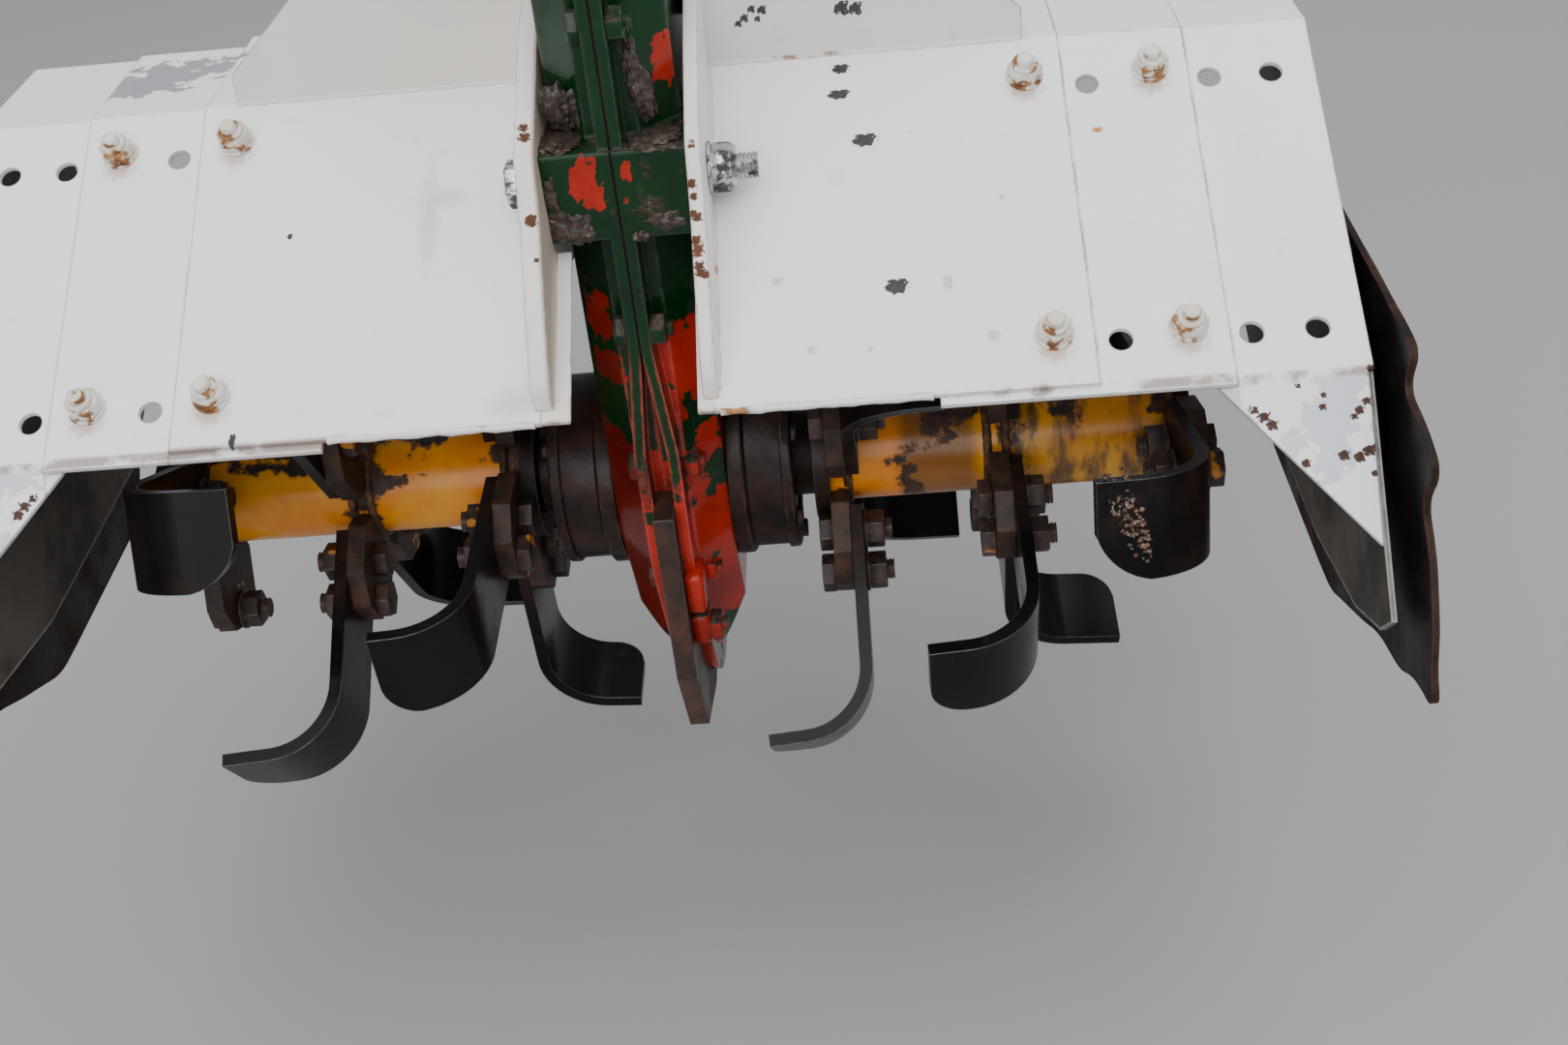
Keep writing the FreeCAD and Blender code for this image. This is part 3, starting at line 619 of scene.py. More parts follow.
case_finish = new_finish("worn_case_paint", case_paint, specular=0.15, coat=0.25, coat_rough=0.08, bump=0.0016,
                         soft=0.005)
print("case finish:", len(case_finish.node_tree.nodes), "nodes")


# %% [markdown]
# The bearing hubs and the shoe are rusty cast iron, the head plate is green paint,
# and the rotor is orange yellow paint that soil has rubbed down to brown, so that
# clean paint is left mostly between the flanges.

# %% Rusty iron, frame paint and rotor paint
def rusty_iron(paint, dark, bright):
    paint.colour, pits = paint.rusty(40.0, dark, bright)
    paint.coat(paint.wear(0.002, 0.8, 0.4) * 0.5, (0.20, 0.15, 0.12))
    damp, _ = paint.blotch(14.0, 0.42, 0.62, 3.0)
    return 0.58 - damp * 0.24, pits


def frame_green(paint):
    tint, relief = paint.blotch(12.0, 0.3, 0.7)
    paint.colour = mix(tint, (0.0030, 0.019, 0.0060), (0.0062, 0.043, 0.013))
    wear = paint.wear(0.003, 0.7, 0.6)
    paint.coat(wear, paint.rusty(70.0)[0])
    return wear * 0.35 + 0.4, relief


def rotor_orange(paint):
    paint.colour = mix(paint.blotch(18.0, 0.35, 0.65)[0], (0.84, 0.250, 0.006), (0.95, 0.400, 0.008))
    across = abs(paint.x)
    on_flange = paint.radius().step(0.0358, 0.0380) * 0.26
    beside_flange = strongest([across.near(at, 0.008, 0.016) for at in (0.106, 0.2095, 0.3235)]) * 0.10
    lost_and_top_shade = paint.blotch(21.0, 0.0, 1.0, 6.0)[0] + (on_flange + beside_flange)
    # More paint is lost towards the tube's top, and this darker top is also painted shade under the hood.
    lost_and_top_shade = lost_and_top_shade + (paint.x.step(0.125, 0.15) * 0.03 + paint.above(0.006, 0.030) * 0.13)
    bare = lost_and_top_shade.step(0.645, 0.715)
    rusted, pits = paint.rusty(60.0, (0.018, 0.009, 0.006), (0.085, 0.034, 0.017))
    outer = paint.x.step(0.205, 0.225)
    streaks, _ = paint.blotch(26.0, 0.40, 0.62, 6.0, paint.mapped(Scale=(3.0, 1.0, 1.0)))
    film = (paint.x.near(0.172, 0.018, 0.014) * 0.75) | (outer * streaks * 0.9)
    paint.coat(outer * 0.45, (0.34, 0.17, 0.012))
    paint.coat(film, (0.075, 0.036, 0.012))
    paint.coat(bare, rusted)
    return bare * 0.28 + 0.30, pits * 0.5 - bare * 0.4


hub_finish = new_finish("rusty_hub_iron", rusty_iron, (0.0070, 0.0030, 0.0024), (0.036, 0.0125, 0.008),
                        specular=0.3, bump=0.0008, soft=0.0025)
shoe_finish = new_finish("rusty_shoe", rusty_iron, (0.020, 0.008, 0.005), (0.080, 0.027, 0.015),
                         bump=0.0014, soft=0.003)
frame_finish = new_finish("frame_green_paint", frame_green, bump=0.0006, soft=0.0015)
rotor_finish = new_finish("rotor_orange_paint", rotor_orange, bump=0.0008, soft=0.0015)
print("iron, frame and rotor finishes made")

# %% [markdown]
# Blades are hardened spring steel, nearly black, rubbed by soil to a dull sheen with
# thin bright lines where an edge is still cutting. Zinc plated bolts are pale, with
# dark blotches where the plating has gone. Paint on the hood's nuts has rusted through
# at the foot and round the thread.

# %% Blade steel and bolts
def blade_steel(paint):
    radius = paint.radius()
    cloudy, relief = paint.blotch(13.0, 0.35, 0.7)
    paint.colour = mix(cloudy, (0.0030, 0.0030, 0.0033), (0.0080, 0.0076, 0.0080))
    patch, _ = paint.blotch(19.0, 0.54, 0.68, 6.0)
    brown = strongest([patch * 0.5, radius.step(0.120, 0.085) * 0.85, abs(paint.x).near(0.345, 0.030, 0.030) * 0.6])
    paint.coat(brown, paint.rusty(70.0, (0.016, 0.008, 0.006), (0.042, 0.017, 0.011))[0])
    keen = paint.wear(0.0009, 0.5, 0.6) * radius.step(0.13, 0.17)
    paint.coat(keen * 0.7, (0.30, 0.30, 0.31))
    return 0.24 - keen * 0.04 + brown * 0.25, relief, keen * 0.8


def bolt_steel(paint, tone, dark, bright, dulled, metal, smooth):
    patch, relief = paint.blotch(130.0, dulled, dulled + 0.12, 5.0)
    paint.colour = mix(patch, tone, paint.rusty(150.0, dark, bright)[0])
    return patch * 0.4 + smooth, relief, (1.0 - patch) * metal


def painted_bolt(paint):
    _, up, out = paint.on_slope().axes()
    below = strongest([up.near(row, 0.0035, 0.004) for row in (0.192, 0.022)])
    foot = below * out.near(SKIN + 0.0025, 0.0035, 0.004)
    collar = out.near(SKIN + 0.0125, 0.0008, 0.0016)
    patch, relief = paint.blotch(75.0, 0.0, 1.0)
    gone = (patch + (foot * 0.24 + collar * 0.17)).step(0.66, 0.74)
    paint.colour = mix(patch.step(0.35, 0.6), (0.78, 0.75, 0.70), (0.70, 0.62, 0.50))
    paint.coat(gone, paint.rusty(160.0, (0.16, 0.060, 0.016), (0.48, 0.24, 0.085))[0])
    return gone * 0.4 + 0.38, relief


def dark_bolt(paint):
    paint.colour, pits = paint.rusty(90.0, (0.018, 0.010, 0.008), (0.080, 0.038, 0.028))
    wear = paint.wear(0.0015, 0.7, 0.6)
    paint.coat(paint.blotch(34.0, 0.64, 0.66, 2.0)[0] * 0.9, (0.62, 0.22, 0.010))
    paint.coat(wear * 0.5, (0.26, 0.22, 0.20))
    return 0.55 - wear * 0.25, pits, wear * 0.6


blade_finish = new_finish("worn_blade_steel", blade_steel, specular=0.14, bump=0.0005)
zinc_finish = new_finish("zinc_bolt", bolt_steel, (0.50, 0.50, 0.48), (0.014, 0.014, 0.013), (0.10, 0.095, 0.085),
                         0.45, 0.92, 0.18, bump=0.0005)
hood_bolt_finish = new_finish("painted_hood_bolt", painted_bolt, bump=0.0004, soft=0.0015)
rotor_bolt_finish = new_finish("rotor_bolt", dark_bolt, bump=0.0004, soft=0.0012)
hub_steel_finish = new_finish("drive_hub_steel", bolt_steel, (0.40, 0.39, 0.37), (0.04, 0.018, 0.010),
                              (0.26, 0.10, 0.035), 0.60, 0.9, 0.30, bump=0.0003)
print("steel finishes made")

# %% [markdown]
# Earth sticks where it is thrown and where rain doesn't wash: on ledges, in the gap
# between the lips, and wet on one blade. It is crumbly and uneven, so its finish is
# mostly height. Welds are small and rusty, or painted over with the hood.

# %% Earth and welds
def damp_earth(paint):
    crumb, relief = paint.blotch(260.0, 0.38, 0.66, 7.0)
    paint.colour = mix(crumb, (0.016, 0.009, 0.006), (0.085, 0.050, 0.034))
    return 0.66 - crumb * 0.25, relief


def wet_earth(paint):
    paint.colour = mix(paint.blotch(220.0, 0.4, 0.6)[0], (0.016, 0.008, 0.006), (0.20, 0.095, 0.055))
    return 0.08, paint.blotch(300.0)[1]


def weld_metal(paint):
    paint.colour, pits = paint.rusty(120.0, (0.035, 0.016, 0.009), (0.20, 0.085, 0.035))
    return 0.7 - pits * 0.1, pits


def painted_weld(paint):
    patch, relief = paint.blotch(30.0, 0.57, 0.64, 5.0)
    rusted, _ = paint.rusty(120.0, (0.12, 0.045, 0.015), (0.50, 0.25, 0.10))
    paint.colour = mix(patch, (0.76, 0.74, 0.71), rusted)
    return patch * 0.4 + 0.36, relief


earth_finish = new_finish("damp_earth", damp_earth, coat=0.6, coat_rough=0.14, bump=0.004, soft=0.0005)
wet_earth_finish = new_finish("wet_earth", wet_earth, coat=1.0, coat_rough=0.06, bump=0.002)
weld_finish = new_finish("rusty_weld", weld_metal, bump=0.0006)
painted_weld_finish = new_finish("painted_weld", painted_weld, bump=0.0006)
print("earth and weld finishes made")

# %% [markdown]
# Each solid of the model now gets its finish by name. A table from the start of a
# name to a finish is shorter and easier to check than a line for each node.

# %% Dress the solids
FINISHES = [("case_half", case_finish), ("bearing_hub", hub_finish), ("cutting_shoe", shoe_finish),
            ("drive_cover", frame_finish), ("toolbar_plate", frame_finish), ("drive_hub", hub_steel_finish),
            ("rear_cross_bolt", zinc_finish), ("front_cross_bolt", zinc_finish),
            ("hood_inner_plate", hood_white_shaded), ("hood_rib", hood_white_shaded), ("hood_main", hood_white),
            ("hood_middle", hood_white), ("hood_outer", hood_grey), ("hood_end_wall", end_wall_finish),
            ("side_shield", shield_finish), ("rotor_shaft", hub_finish), ("rotor_tube", rotor_finish),
            ("blades", blade_finish)]
for name, node in nodes.items():
    finish = next(f for start_of_name, f in FINISHES if name.startswith(start_of_name))
    node.data.materials.clear()
    node.data.materials.append(finish)
print("dressed", len(nodes), "nodes")

# %% [markdown]
# The hood's sheets are held by through bolts: a low round head under the hood, and a
# washer, a lock nut and the bolt's end on top, all painted over together. Two kinds of
# nut are built from bevelled prisms: one crisp, with a ridged thread, for bare steel,
# and one with soft corners for the painted eight on the hood.

# %% Bolts and nuts
THREAD_PITCH, THREAD_ROOT = 0.0020, 0.86
PAINTED_NUT = [  # sides, radius, height, distance from the sheet, bevel, radius on top
    (24, 10.6, 1.6, 0, 0.6), (6, 10.1, 8.8, 1.4, 1.9), (20, 7.4, 3.2, 9.6, 1.2), (16, 5.0, 5.6, 12.2, 1.2, 4.5)]


def add_thread(target, radius, length, place, axis):
    """A ridged round end: a bar whose rings are drawn in and out in turn."""
    turns = max(2, int(length / THREAD_PITCH))
    made = ribbed_bar(16, radius, length / turns / 2, [THREAD_ROOT, 1 / THREAD_ROOT] * turns, False)
    join_into(target, made, standing(place, axis))


def add_nut(target, place, axis, across, height, bolt, past, washer, turn):
    """Washer, nut and thread end, standing on a face."""
    axis = Vector(axis)
    if washer:
        add_prism(target, 24, across * 0.62, washer, place, axis, bevel=0.0003)
    add_prism(target, 6, across / math.sqrt(3), height, place + axis * washer, axis, bevel=0.0009, turn=turn)
    add_thread(target, bolt, past, place + axis * (washer + height), axis)


draw = random.Random(11)
hood_bolts = bmesh.new()
for side in (1, -1):
    for x, up in BOLTED:
        on_middle = x > 260
        add_stack(hood_bolts, PAINTED_NUT, on_hood(side * x / 1000, up / 1000, -SHEET if on_middle else 0.0), OUT,
                  draw.uniform(0, 1))
        add_prism(hood_bolts, 20, 0.012, 0.0035,
                  on_hood(side * x / 1000, up / 1000, -SHEET * (3 if on_middle else 2)), -OUT, bevel=0.0014)
finish_piece(hood_bolts, "hood_bolts", "root", hood_bolt_finish)

# %% [markdown]
# Each blade is clamped to its lobe by two bolts, with the head on one side and nut
# and thread on the other. The table repeats the model's flanges: side, distance from
# the case, the angle of the first lobe and which lobes carry a blade.

# %% Rotor bolts
FLANGES = [  # side, distance from the case, side of the blades (1 outer), first angle, lobes with a blade
    (-1, 0.106, 1, 88.0, "1111"), (-1, 0.2095, 1, 57.0, "1111"), (-1, 0.3185, -1, 116.0, "1010"),
    (1, 0.106, 1, -42.0, "1111"), (1, 0.2095, 1, -12.5, "1111"), (1, 0.3285, -1, 107.0, "1010")]
BLADE_BOLTS = [(0.058, 4), (0.084, -3)]  # distance from the axis, angle off the lobe's middle
rotor_bolts = bmesh.new()
for side, x, mount, first, carried in FLANGES:
    for k, blade in enumerate(carried):
        for radius, spot in BLADE_BOLTS if blade == "1" else BLADE_BOLTS[1:]:
            angle = first - 90 * k + spot
            nut_face = x + mount * (0.014 if blade == "1" else 0.006)
            add_nut(rotor_bolts, round_rotor(side * nut_face, radius, angle), (side * mount, 0, 0), 0.022, 0.0115,
                    0.007, 0.005, washer=0.002, turn=draw.uniform(0, 1))
            add_prism(rotor_bolts, 6, 0.0127, 0.009, round_rotor(side * (x - mount * 0.006), radius, angle),
                      (-side * mount, 0, 0), bevel=0.0010, turn=draw.uniform(0, 1))
finish_piece(rotor_bolts, "rotor_bolts", "rotor", rotor_bolt_finish)

# %% [markdown]
# Each hood half hangs from an upright ear, a plate nearly twice as thick above the sheet
# as below it. Its edge towards the viewer runs up from the lower corner in one long
# hollow curve, and the skin goes on a little past it towards the case. Drawn as an
# outline and pushed out along the rotor, it keeps that curve; it stands for the simpler
# plate of the solid model.

# %% Ears of the hood halves
def add_slab(target, outline, first, last, bevel):
    """A flat plate: an outline across the rotor axis, pushed out along it."""
    made = bmesh.new()
    corners = [made.verts.new((first, place.y, place.z)) for place in outline]
    grown = bmesh.ops.extrude_face_region(made, geom=[made.faces.new(corners)])["geom"]
    bmesh.ops.translate(made, verts=only(bmesh.types.BMVert, grown), vec=(last - first, 0, 0))
    bmesh.ops.recalc_face_normals(made, faces=made.faces)
    soften(made, level(made, 0), bevel)
    join_into(target, made)


def hood_line(*rows):
    """Points of an outline, from distance up the slope and out from the skin in millimetres."""
    return [on_hood(0, up / 1000, out / 1000) for up, out in rows]


ear_low, ear_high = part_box("hood_inner_plate_right")
bend = on_hood(0, BEND)
far_edge = [Vector((0, ear_high[1], bend.z - drop)) for drop in (0.002, 0.066)]
EAR = hood_line((8, 0), (12, 8), (18, 13), (36, 21), (54, 28.5), (73, 35.5), (95, 42), (113, 52), (129, 63), (205, 60))
EAR += [Vector((0, bend.y + 0.041, ear_high[2])), Vector((0, bend.y + 0.093, ear_high[2])),
        Vector((0, ear_high[1], (bend.z + ear_high[2]) / 2)), far_edge[0], on_hood(0, BEND, -0.002)]
UNDER = hood_line((16, -2), (229, -2)) + far_edge + hood_line(
    (247, -66), (150, -66), (130, -46), (60, -46), (30, -30))
SKIN_END = hood_line((0.3, -2.8), (0.3, -0.3), (108, -0.3), (108, -2.8))
for side, word, inner, outer, skin_end in ((-1, "left", 0.0395, 0.0512, 0.031), (1, "right", 0.0415, 0.0500, 0.0382)):
    ear = bmesh.new()
    add_slab(ear, EAR, side * inner, side * outer, 0.0012)
    add_slab(ear, UNDER, side * 0.0396, side * 0.0444, 0.0008)
    add_slab(ear, SKIN_END, side * skin_end, side * 0.0490, 0.0006)
    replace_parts(finish_piece(ear, "hood_ear_" + word, "root", hood_white_shaded), "hood_inner_plate_" + word)

# %% [markdown]
# The two cross bolts that carry the hood halves are the largest fastenings. They are
# built anew with washers, chamfered nuts and real thread ridges, and they stand for
# the plain bolts of the solid model, which stay in the physics.

# %% Cross bolts
BOLT_HEAD = [(24, 14.8, 2, 0, 0.4), (6, 13.9, 10, 2, 1.4)]  # columns as for the painted nut
BOLT_NUT = [(24, 14.8, 2, 0, 0.4), (6, 13.9, 10, 2, 0.9), (6, 13.9, 4.2, 11.8, 0.8, 11.2)]
for name in ("rear_cross_bolt", "front_cross_bolt"):
    low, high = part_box(name)
    left = Vector((-0.0516, (low[1] + high[1]) / 2, (low[2] + high[2]) / 2))
    right = Vector((0.0502, left.y, left.z))
    bolt = bmesh.new()
    add_prism(bolt, 24, 0.008, right.x - left.x, left, (1, 0, 0))
    add_stack(bolt, BOLT_HEAD, left, (-1, 0, 0))
    add_stack(bolt, BOLT_NUT, right, (1, 0, 0))
    add_thread(bolt, 0.0077, 0.0115, right + Vector((0.0160, 0, 0)), (1, 0, 0))
    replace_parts(finish_piece(bolt, name + "_threaded", "root", zinc_finish), name)

# %% [markdown]
# Welds are rows of overlapping drops. A round bar with a ring every few millimetres,
# each moved in or out by noise, gives that rippled bead and follows any straight
# seam; bent into a ring it goes round the tube at each flange.

# %% Weld beads
def add_bead(target, first, last, radius, seed):
    """A rippled bead from one point to another."""
    length = (last - first).length
    steps = max(4, int(length / 0.0035))
    made = ribbed_bar(8, radius, length / steps, [1.0] * steps, True)
    for vert in made.verts:
        swell = 1 + 0.30 * noise.noise(Vector((seed, vert.co.z * 160, 0))) + 0.14 * math.sin(vert.co.z * 1500)
        vert.co.x *= swell
        vert.co.y *= swell
    join_into(target, made, standing(first, last - first))


def add_ring_bead(target, x, ring_radius, radius):
    """A rippled bead round the rotor tube."""
    made = bmesh.new()
    on_tube = Matrix.Translation((x, 0, ROTOR_Z + ring_radius)) @ Matrix.Rotation(math.pi / 2, 4, "X")
    bmesh.ops.create_circle(made, cap_ends=False, segments=8, radius=radius, matrix=on_tube)
    bmesh.ops.spin(made, geom=list(made.verts) + list(made.edges), cent=(x, 0, ROTOR_Z), axis=(1, 0, 0),
                   angle=2 * math.pi, steps=72, use_merge=True)
    for vert in made.verts:
        arm = Vector((0, vert.co.y, vert.co.z - ROTOR_Z))
        vert.co += arm.normalized() * 0.0008 * math.sin(math.atan2(arm.y, arm.z) * 26 + x * 900)
    join_into(target, made)


rotor_welds = bmesh.new()
for side in (-1, 1):
    for x in (0.1120, 0.2035, 0.2155, 0.3125 if side < 0 else 0.3225):
        add_ring_bead(rotor_welds, side * x, 0.0352, 0.0030)
finish_piece(rotor_welds, "rotor_welds", "rotor", weld_finish, smooth=60)

# %% [markdown]
# On the hood the beads are painted over and thin: along the foot of the rib, up the
# corner between rib and inner plate, where the main sheet meets the inner plate, and
# in drips along the lower edge.

# %% Painted beads on the hood
hood_welds = bmesh.new()
rib_low, rib_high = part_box("hood_rib_right")
for side in (-1, 1):
    foot, foot_end, top = [Vector((side * x, rib_low[1], z)) for x, z in (
        (rib_low[0], rib_low[2]), (rib_high[0], rib_low[2]), (rib_low[0], rib_high[2]))]
    add_bead(hood_welds, foot, foot_end, 0.0017, side)
    add_bead(hood_welds, foot, top, 0.0017, side + 5)
    add_bead(hood_welds, on_hood(side * 0.0495, 0.014), on_hood(side * 0.0495, 0.226), 0.0022, side + 9)
    add_bead(hood_welds, on_hood(side * 0.0505, 0.0005, -0.0015), on_hood(side * 0.165, 0.0005, -0.0015), 0.0021,
             side + 13)
finish_piece(hood_welds, "hood_welds", "root", painted_weld_finish, smooth=60)

# %% [markdown]
# The lips of the two case halves are clamped by bolts, a head on the left and a nut on
# the right, spaced down both edges. Low on the right the shoe has its own lug with a
# square nut. All were painted with the case, so they share its two coats.

# %% Lip bolts and the shoe's lug
LIP_BOLTS = [(-76, 330), (-88, 152), (-78, 51), (76, 330), (90, 152), (80, 51), (60, -72), (-70, -40)]
lip_bolts = bmesh.new()
for y, z in LIP_BOLTS:
    lip = 13.6 if z < 72 else 7.1 + 6.5 * max(0.0, (142 - z) / 70)
    add_prism(lip_bolts, 6, 0.0098, 0.0072, from_axis(-lip, y, z), (-1, 0, 0), bevel=0.0012, turn=draw.uniform(0, 1))
    add_nut(lip_bolts, from_axis(lip, y, z), (1, 0, 0), 0.017, 0.009, 0.005, 0.004, washer=0.0,
            turn=draw.uniform(0, 1))
finish_piece(lip_bolts, "case_lip_bolts", "root", case_finish)

shoe_lug = bmesh.new()
for y, z, long, tall in ((-100, -30, 0.024, 0.030), (-98, -62, 0.020, 0.024)):
    block = bmesh.new()
    bmesh.ops.create_cube(block, size=1.0)
    bmesh.ops.scale(block, verts=block.verts, vec=(0.012, long, tall))
    soften(block, list(block.edges), 0.0035, segments=3)
    join_into(shoe_lug, block, Matrix.Translation(from_axis(12.2, y, z)))
lug_face = from_axis(18, -100, -63)
add_prism(shoe_lug, 4, 0.0100, 0.0075, lug_face, (1, 0, 0), bevel=0.0012, turn=0.9)
add_prism(shoe_lug, 16, 0.0045, 0.0110, lug_face, (1, 0, 0), bevel=0.0010)
finish_piece(shoe_lug, "shoe_lug", "root", case_finish)

# %% [markdown]
# A bearing hub isn't one plain drum. Next to the case it has a collar, and its outer
# end carries a cover with small bolts. Spinning a stepped outline round the axis gives
# collar and cover in one go, and their rims catch light as turned iron does.

# %% Collars and covers of the hubs
def spun_ring(target, outline, side):
    """Spin an outline of (distance from the middle, radius over the hub) round the rotor axis."""
    made = bmesh.new()
    verts = [made.verts.new((side * x, 0, ROTOR_Z + HUB_R + over)) for x, over in outline]
    edges = [made.edges.new(pair) for pair in zip(verts, verts[1:] + verts[:1])]
    bmesh.ops.spin(made, geom=verts + edges, cent=(0, 0, ROTOR_Z), axis=(1, 0, 0), angle=2 * math.pi, steps=64,
                   use_merge=True)
    join_into(target, made)


hub_low, hub_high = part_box("bearing_hub_right")
HUB_R = (hub_high[2] - hub_low[2]) / 2
COLLAR = [(0.0362, -0.002), (0.0362, 0.0030), (0.0372, 0.0042), (0.0462, 0.0042), (0.0480, 0.0022), (0.0484, -0.002)]
COVER = [(0.0700, -0.002), (0.0704, 0.0016), (0.0714, 0.0024), (0.0768, 0.0022), (0.0782, 0.0004),
         (0.0782, 0.0500 - HUB_R), (0.0755, 0.0480 - HUB_R)]
hub_trim = bmesh.new()
for side in (-1, 1):
    spun_ring(hub_trim, COLLAR, side)
    spun_ring(hub_trim, COVER, side)
    for k in range(6):
        add_prism(hub_trim, 6, 0.0062, 0.0040, round_rotor(side * 0.0780, 0.056, 60 * k + 15), (side, 0, 0),
                  bevel=0.0008)
finish_piece(hub_trim, "hub_collars", "root", hub_finish)

# %% [markdown]
# The side shields are plates that stones have bent into waves, with a thick torn rim.
# A flat outline has its corners rounded by a vertex bevel, is cut into strips so that
# it can bend, is pushed in and out by noise, and only then gets its thickness. It
# stands for the flat plate of the solid model, with real stand-offs behind it.

# %% Bent side shields
SHIELD = [(-200, 168), (70, 168), (100, 120), (100, -20), (60, -60), (-110, -60), (-206, -14), (-243, -8),
          (-278, 14), (-304, 16), (-266, 71), (-238, 102), (-252, 128), (-224, 140), (-192, 142)]
STAND_OFFS = [(-120, 120), (60, 130), (-20, 30)]
SHIELD_THICK = 0.004
wall_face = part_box("hood_end_wall_right")[1][0]
shield_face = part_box("side_shield_right")[1][0]
for side, word in ((-1, "left"), (1, "right")):
    plate = bmesh.new()
    corners = [plate.verts.new(from_axis(0, y, z)) for y, z in SHIELD]
    plate.faces.new(corners)
    soften(plate, corners, 0.011, segments=4, affect="VERTICES")
    for k in range(-30, 11):
        for place, normal in ((from_axis(0, k * 10, 0), (0, 1, 0)), (from_axis(0, 0, k * 10 + 70), (0, 0, 1))):
            bmesh.ops.bisect_plane(plate, geom=list(plate.verts) + list(plate.edges) + list(plate.faces), dist=1e-6,
                                   plane_co=place, plane_no=normal)
    for vert in plate.verts:
        y, z = vert.co.y, vert.co.z - ROTOR_Z
        bent = max(0.0, min(1.0, (-y - 0.08) / 0.16))
        vert.co.x = shield_face - SHIELD_THICK + 0.004 * bent * noise.noise(Vector((side * 3.0, y * 16, z * 16)))
        vert.co.y += 0.0035 * bent * noise.noise(Vector((side * 7.0, z * 45, y * 20)))
    bmesh.ops.recalc_face_normals(plate, faces=plate.faces)
    bmesh.ops.solidify(plate, geom=list(plate.faces), thickness=SHIELD_THICK)
    for vert in plate.verts:
        vert.co.x *= side
    for y, z in STAND_OFFS:
        spot = Vector((side * (wall_face - 0.0005), y / 1000, ROTOR_Z + z / 1000))
        add_prism(plate, 24, 0.010, shield_face - wall_face - 0.003, spot, (side, 0, 0), bevel=0.0006)
        add_prism(plate, 6, 0.0105, 0.0065, spot + Vector((side * (shield_face - wall_face), 0, 0)), (side, 0, 0),
                  bevel=0.0010, turn=draw.uniform(0, 1))
    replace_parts(finish_piece(plate, "bent_shield_" + word, "root", shield_finish),
                "side_shield_" + word)

# %% [markdown]
# Earth lies on the boss, in the hollows beside the lips, and wet on one blade. Each
# lump starts as a flattened ball, and layered noise pushes its skin out and in, which
# crumbles it far more than a bump map could at the rim.

# %% Lumps of earth
def add_lump(target, place, size, seed, rough=0.5, fine=4):
    """A crumbled, flattened ball of earth."""
    made = bmesh.new()
    bmesh.ops.create_icosphere(made, subdivisions=fine, radius=1.0)
    for vert in made.verts:
        where = vert.co * 1.6 + Vector((seed, seed * 0.7, 0))
        vert.co *= 1 + rough * (noise.noise(where) + 0.5 * noise.noise(where * 3.1) + 0.25 * noise.noise(where * 7.0))
    join_into(target, made, Matrix.Translation(place) @ Matrix.Diagonal((*size, 1)))


CASE_EARTH = axis_marks([
    (26, -80, 265, 15, 13, 3.2), (-30, -76, 265, 13, 14, 3.6), (18, -66, 284, 8, 5, 16), (14, -66, 305, 5, 5, 16),
    (-26, -66, 282, 9, 5, 14), (-30, -91, 222, 13, 3.2, 10), (-36, -91, 242, 5, 2.4, 11), (-22, -91, 218, 8, 3, 5),
    (18, -91, 232, 4.5, 1.6, 3), (26, -91, 222, 12, 2.0, 6), (10, -90, 214, 5, 4, 4), (-16, -65, 275, 5, 4, 9)])
case_earth = bmesh.new()
for k, (centre, half) in enumerate(CASE_EARTH):
    add_lump(case_earth, centre, half, k * 3.7)
finish_piece(case_earth, "case_earth", "root", earth_finish, smooth=60)

BLADE_FACE = 0.1973  # from the rotor axis
blade_earth = bmesh.new()
for k in range(130):
    along = max(-1.4, min(1.7, draw.gauss(0.0, 0.85)))
    x = 0.2695 + 0.0062 * along + draw.uniform(-0.0075, 0.0055) * (1.15 - 0.35 * along)
    angle = 110 - 4.6 * along + draw.uniform(-1.6, 1.6)
    size = draw.uniform(0.0005, 0.0019)
    add_lump(blade_earth, round_rotor(x, BLADE_FACE, angle), (size, size, size * 0.8), k * 2.3, 0.6, 3)
finish_piece(blade_earth, "blade_earth", "rotor", wet_earth_finish, smooth=60)

# %% [markdown]
# Last comes the room: a plain pale floor some way below, since the unit is lifted, a
# wide soft light above, a weaker one from the viewer's side and a pale sky. The camera
# stands where the photograph was taken from, found by matching known sizes.

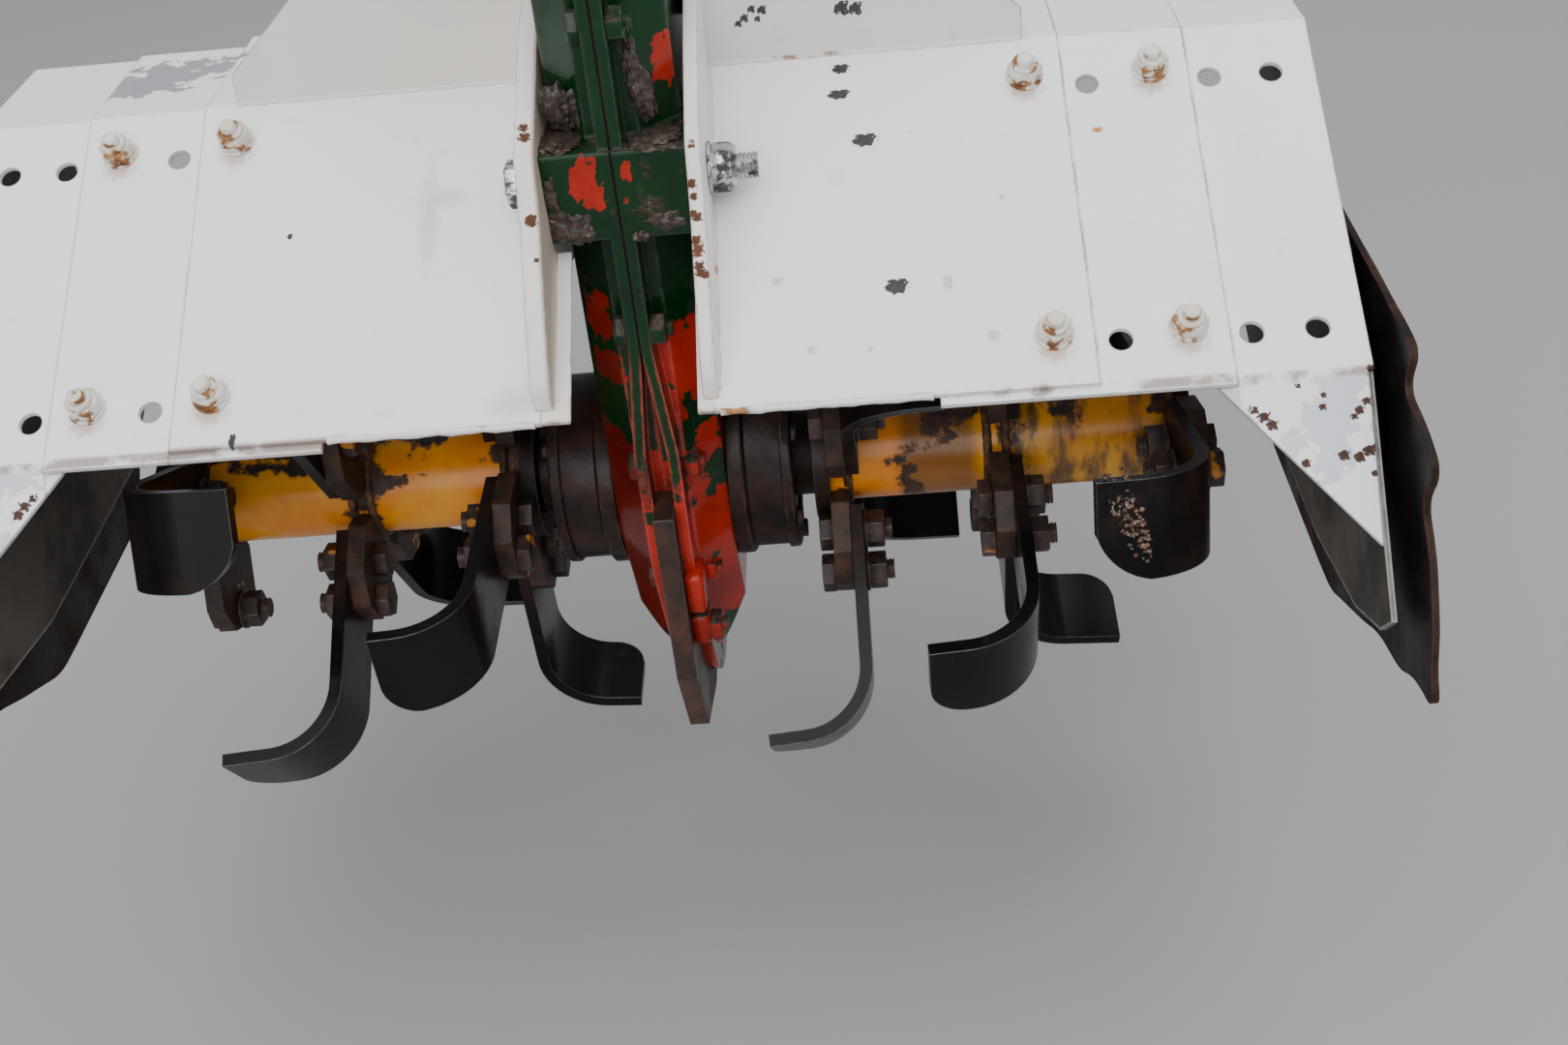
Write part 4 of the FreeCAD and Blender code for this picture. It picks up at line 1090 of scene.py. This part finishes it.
# %% Floor, light and camera
made = bmesh.new()
bmesh.ops.create_grid(made, x_segments=1, y_segments=1, size=6.0, matrix=Matrix.Translation((0, 0, -0.86)))
floor_mesh = bpy.data.meshes.new("floor")
made.to_mesh(floor_mesh)
made.free()
floor_paint = bpy.data.materials.new("pale_floor")
floor_paint.use_nodes = True
floor_look = floor_paint.node_tree.nodes["Principled BSDF"].inputs
floor_look["Base Color"].default_value = (0.37, 0.365, 0.36, 1)
floor_look["Roughness"].default_value = 0.8
floor_mesh.materials.append(floor_paint)
new_object("floor", floor_mesh)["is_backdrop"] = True


def soft_light(name, place, aim, size, power):
    """A square area light that faces a point."""
    lamp = bpy.data.lights.new(name, "AREA")
    lamp.shape = "SQUARE"
    lamp.size = size
    lamp.energy = power
    shine = new_object(name, lamp)
    shine.location = place
    shine.rotation_euler = (Vector(aim) - Vector(place)).to_track_quat("-Z", "Y").to_euler()


soft_light("sky_panel", (0.3, -0.4, 2.8), (0, 0, -0.4), 6.0, 220)
soft_light("front_panel", (-0.8, -3.4, 1.7), (0, 0, -0.45), 4.0, 108)
world = bpy.data.worlds.new("pale_sky")
world.use_nodes = True
sky = world.node_tree.nodes["Background"].inputs
sky["Color"].default_value = (0.86, 0.91, 1.0, 1)
sky["Strength"].default_value = 0.32
bpy.context.scene.world = world

IMAGE_WIDTH = 1620
FOCAL_PIXELS = 1808.0
EYE = Vector((0.1350, -0.9676, 0.6589 + ROTOR_Z))
camera_data = bpy.data.cameras.new("photo_camera")
camera_data.sensor_width = 36.0
camera_data.lens = FOCAL_PIXELS / IMAGE_WIDTH * camera_data.sensor_width
camera_data.clip_start = 0.02
camera = new_object("photo_camera", camera_data)
forward = Vector((-0.0582, 0.8015, -0.5952)).normalized()
right = Vector((0.9959, 0.0051, -0.0906))
right = (right - forward * right.dot(forward)).normalized()
turn = Matrix((right, right.cross(forward), -forward)).transposed()
camera.matrix_world = Matrix.Translation(EYE) @ turn.to_4x4()
bpy.context.scene.camera = camera
print("camera lens", round(camera_data.lens, 2), "at", [round(v, 3) for v in camera.matrix_world.translation])

# %% Measure and close
low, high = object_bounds()
print("visual box:", [round(v, 4) for v in (*low, *high)])
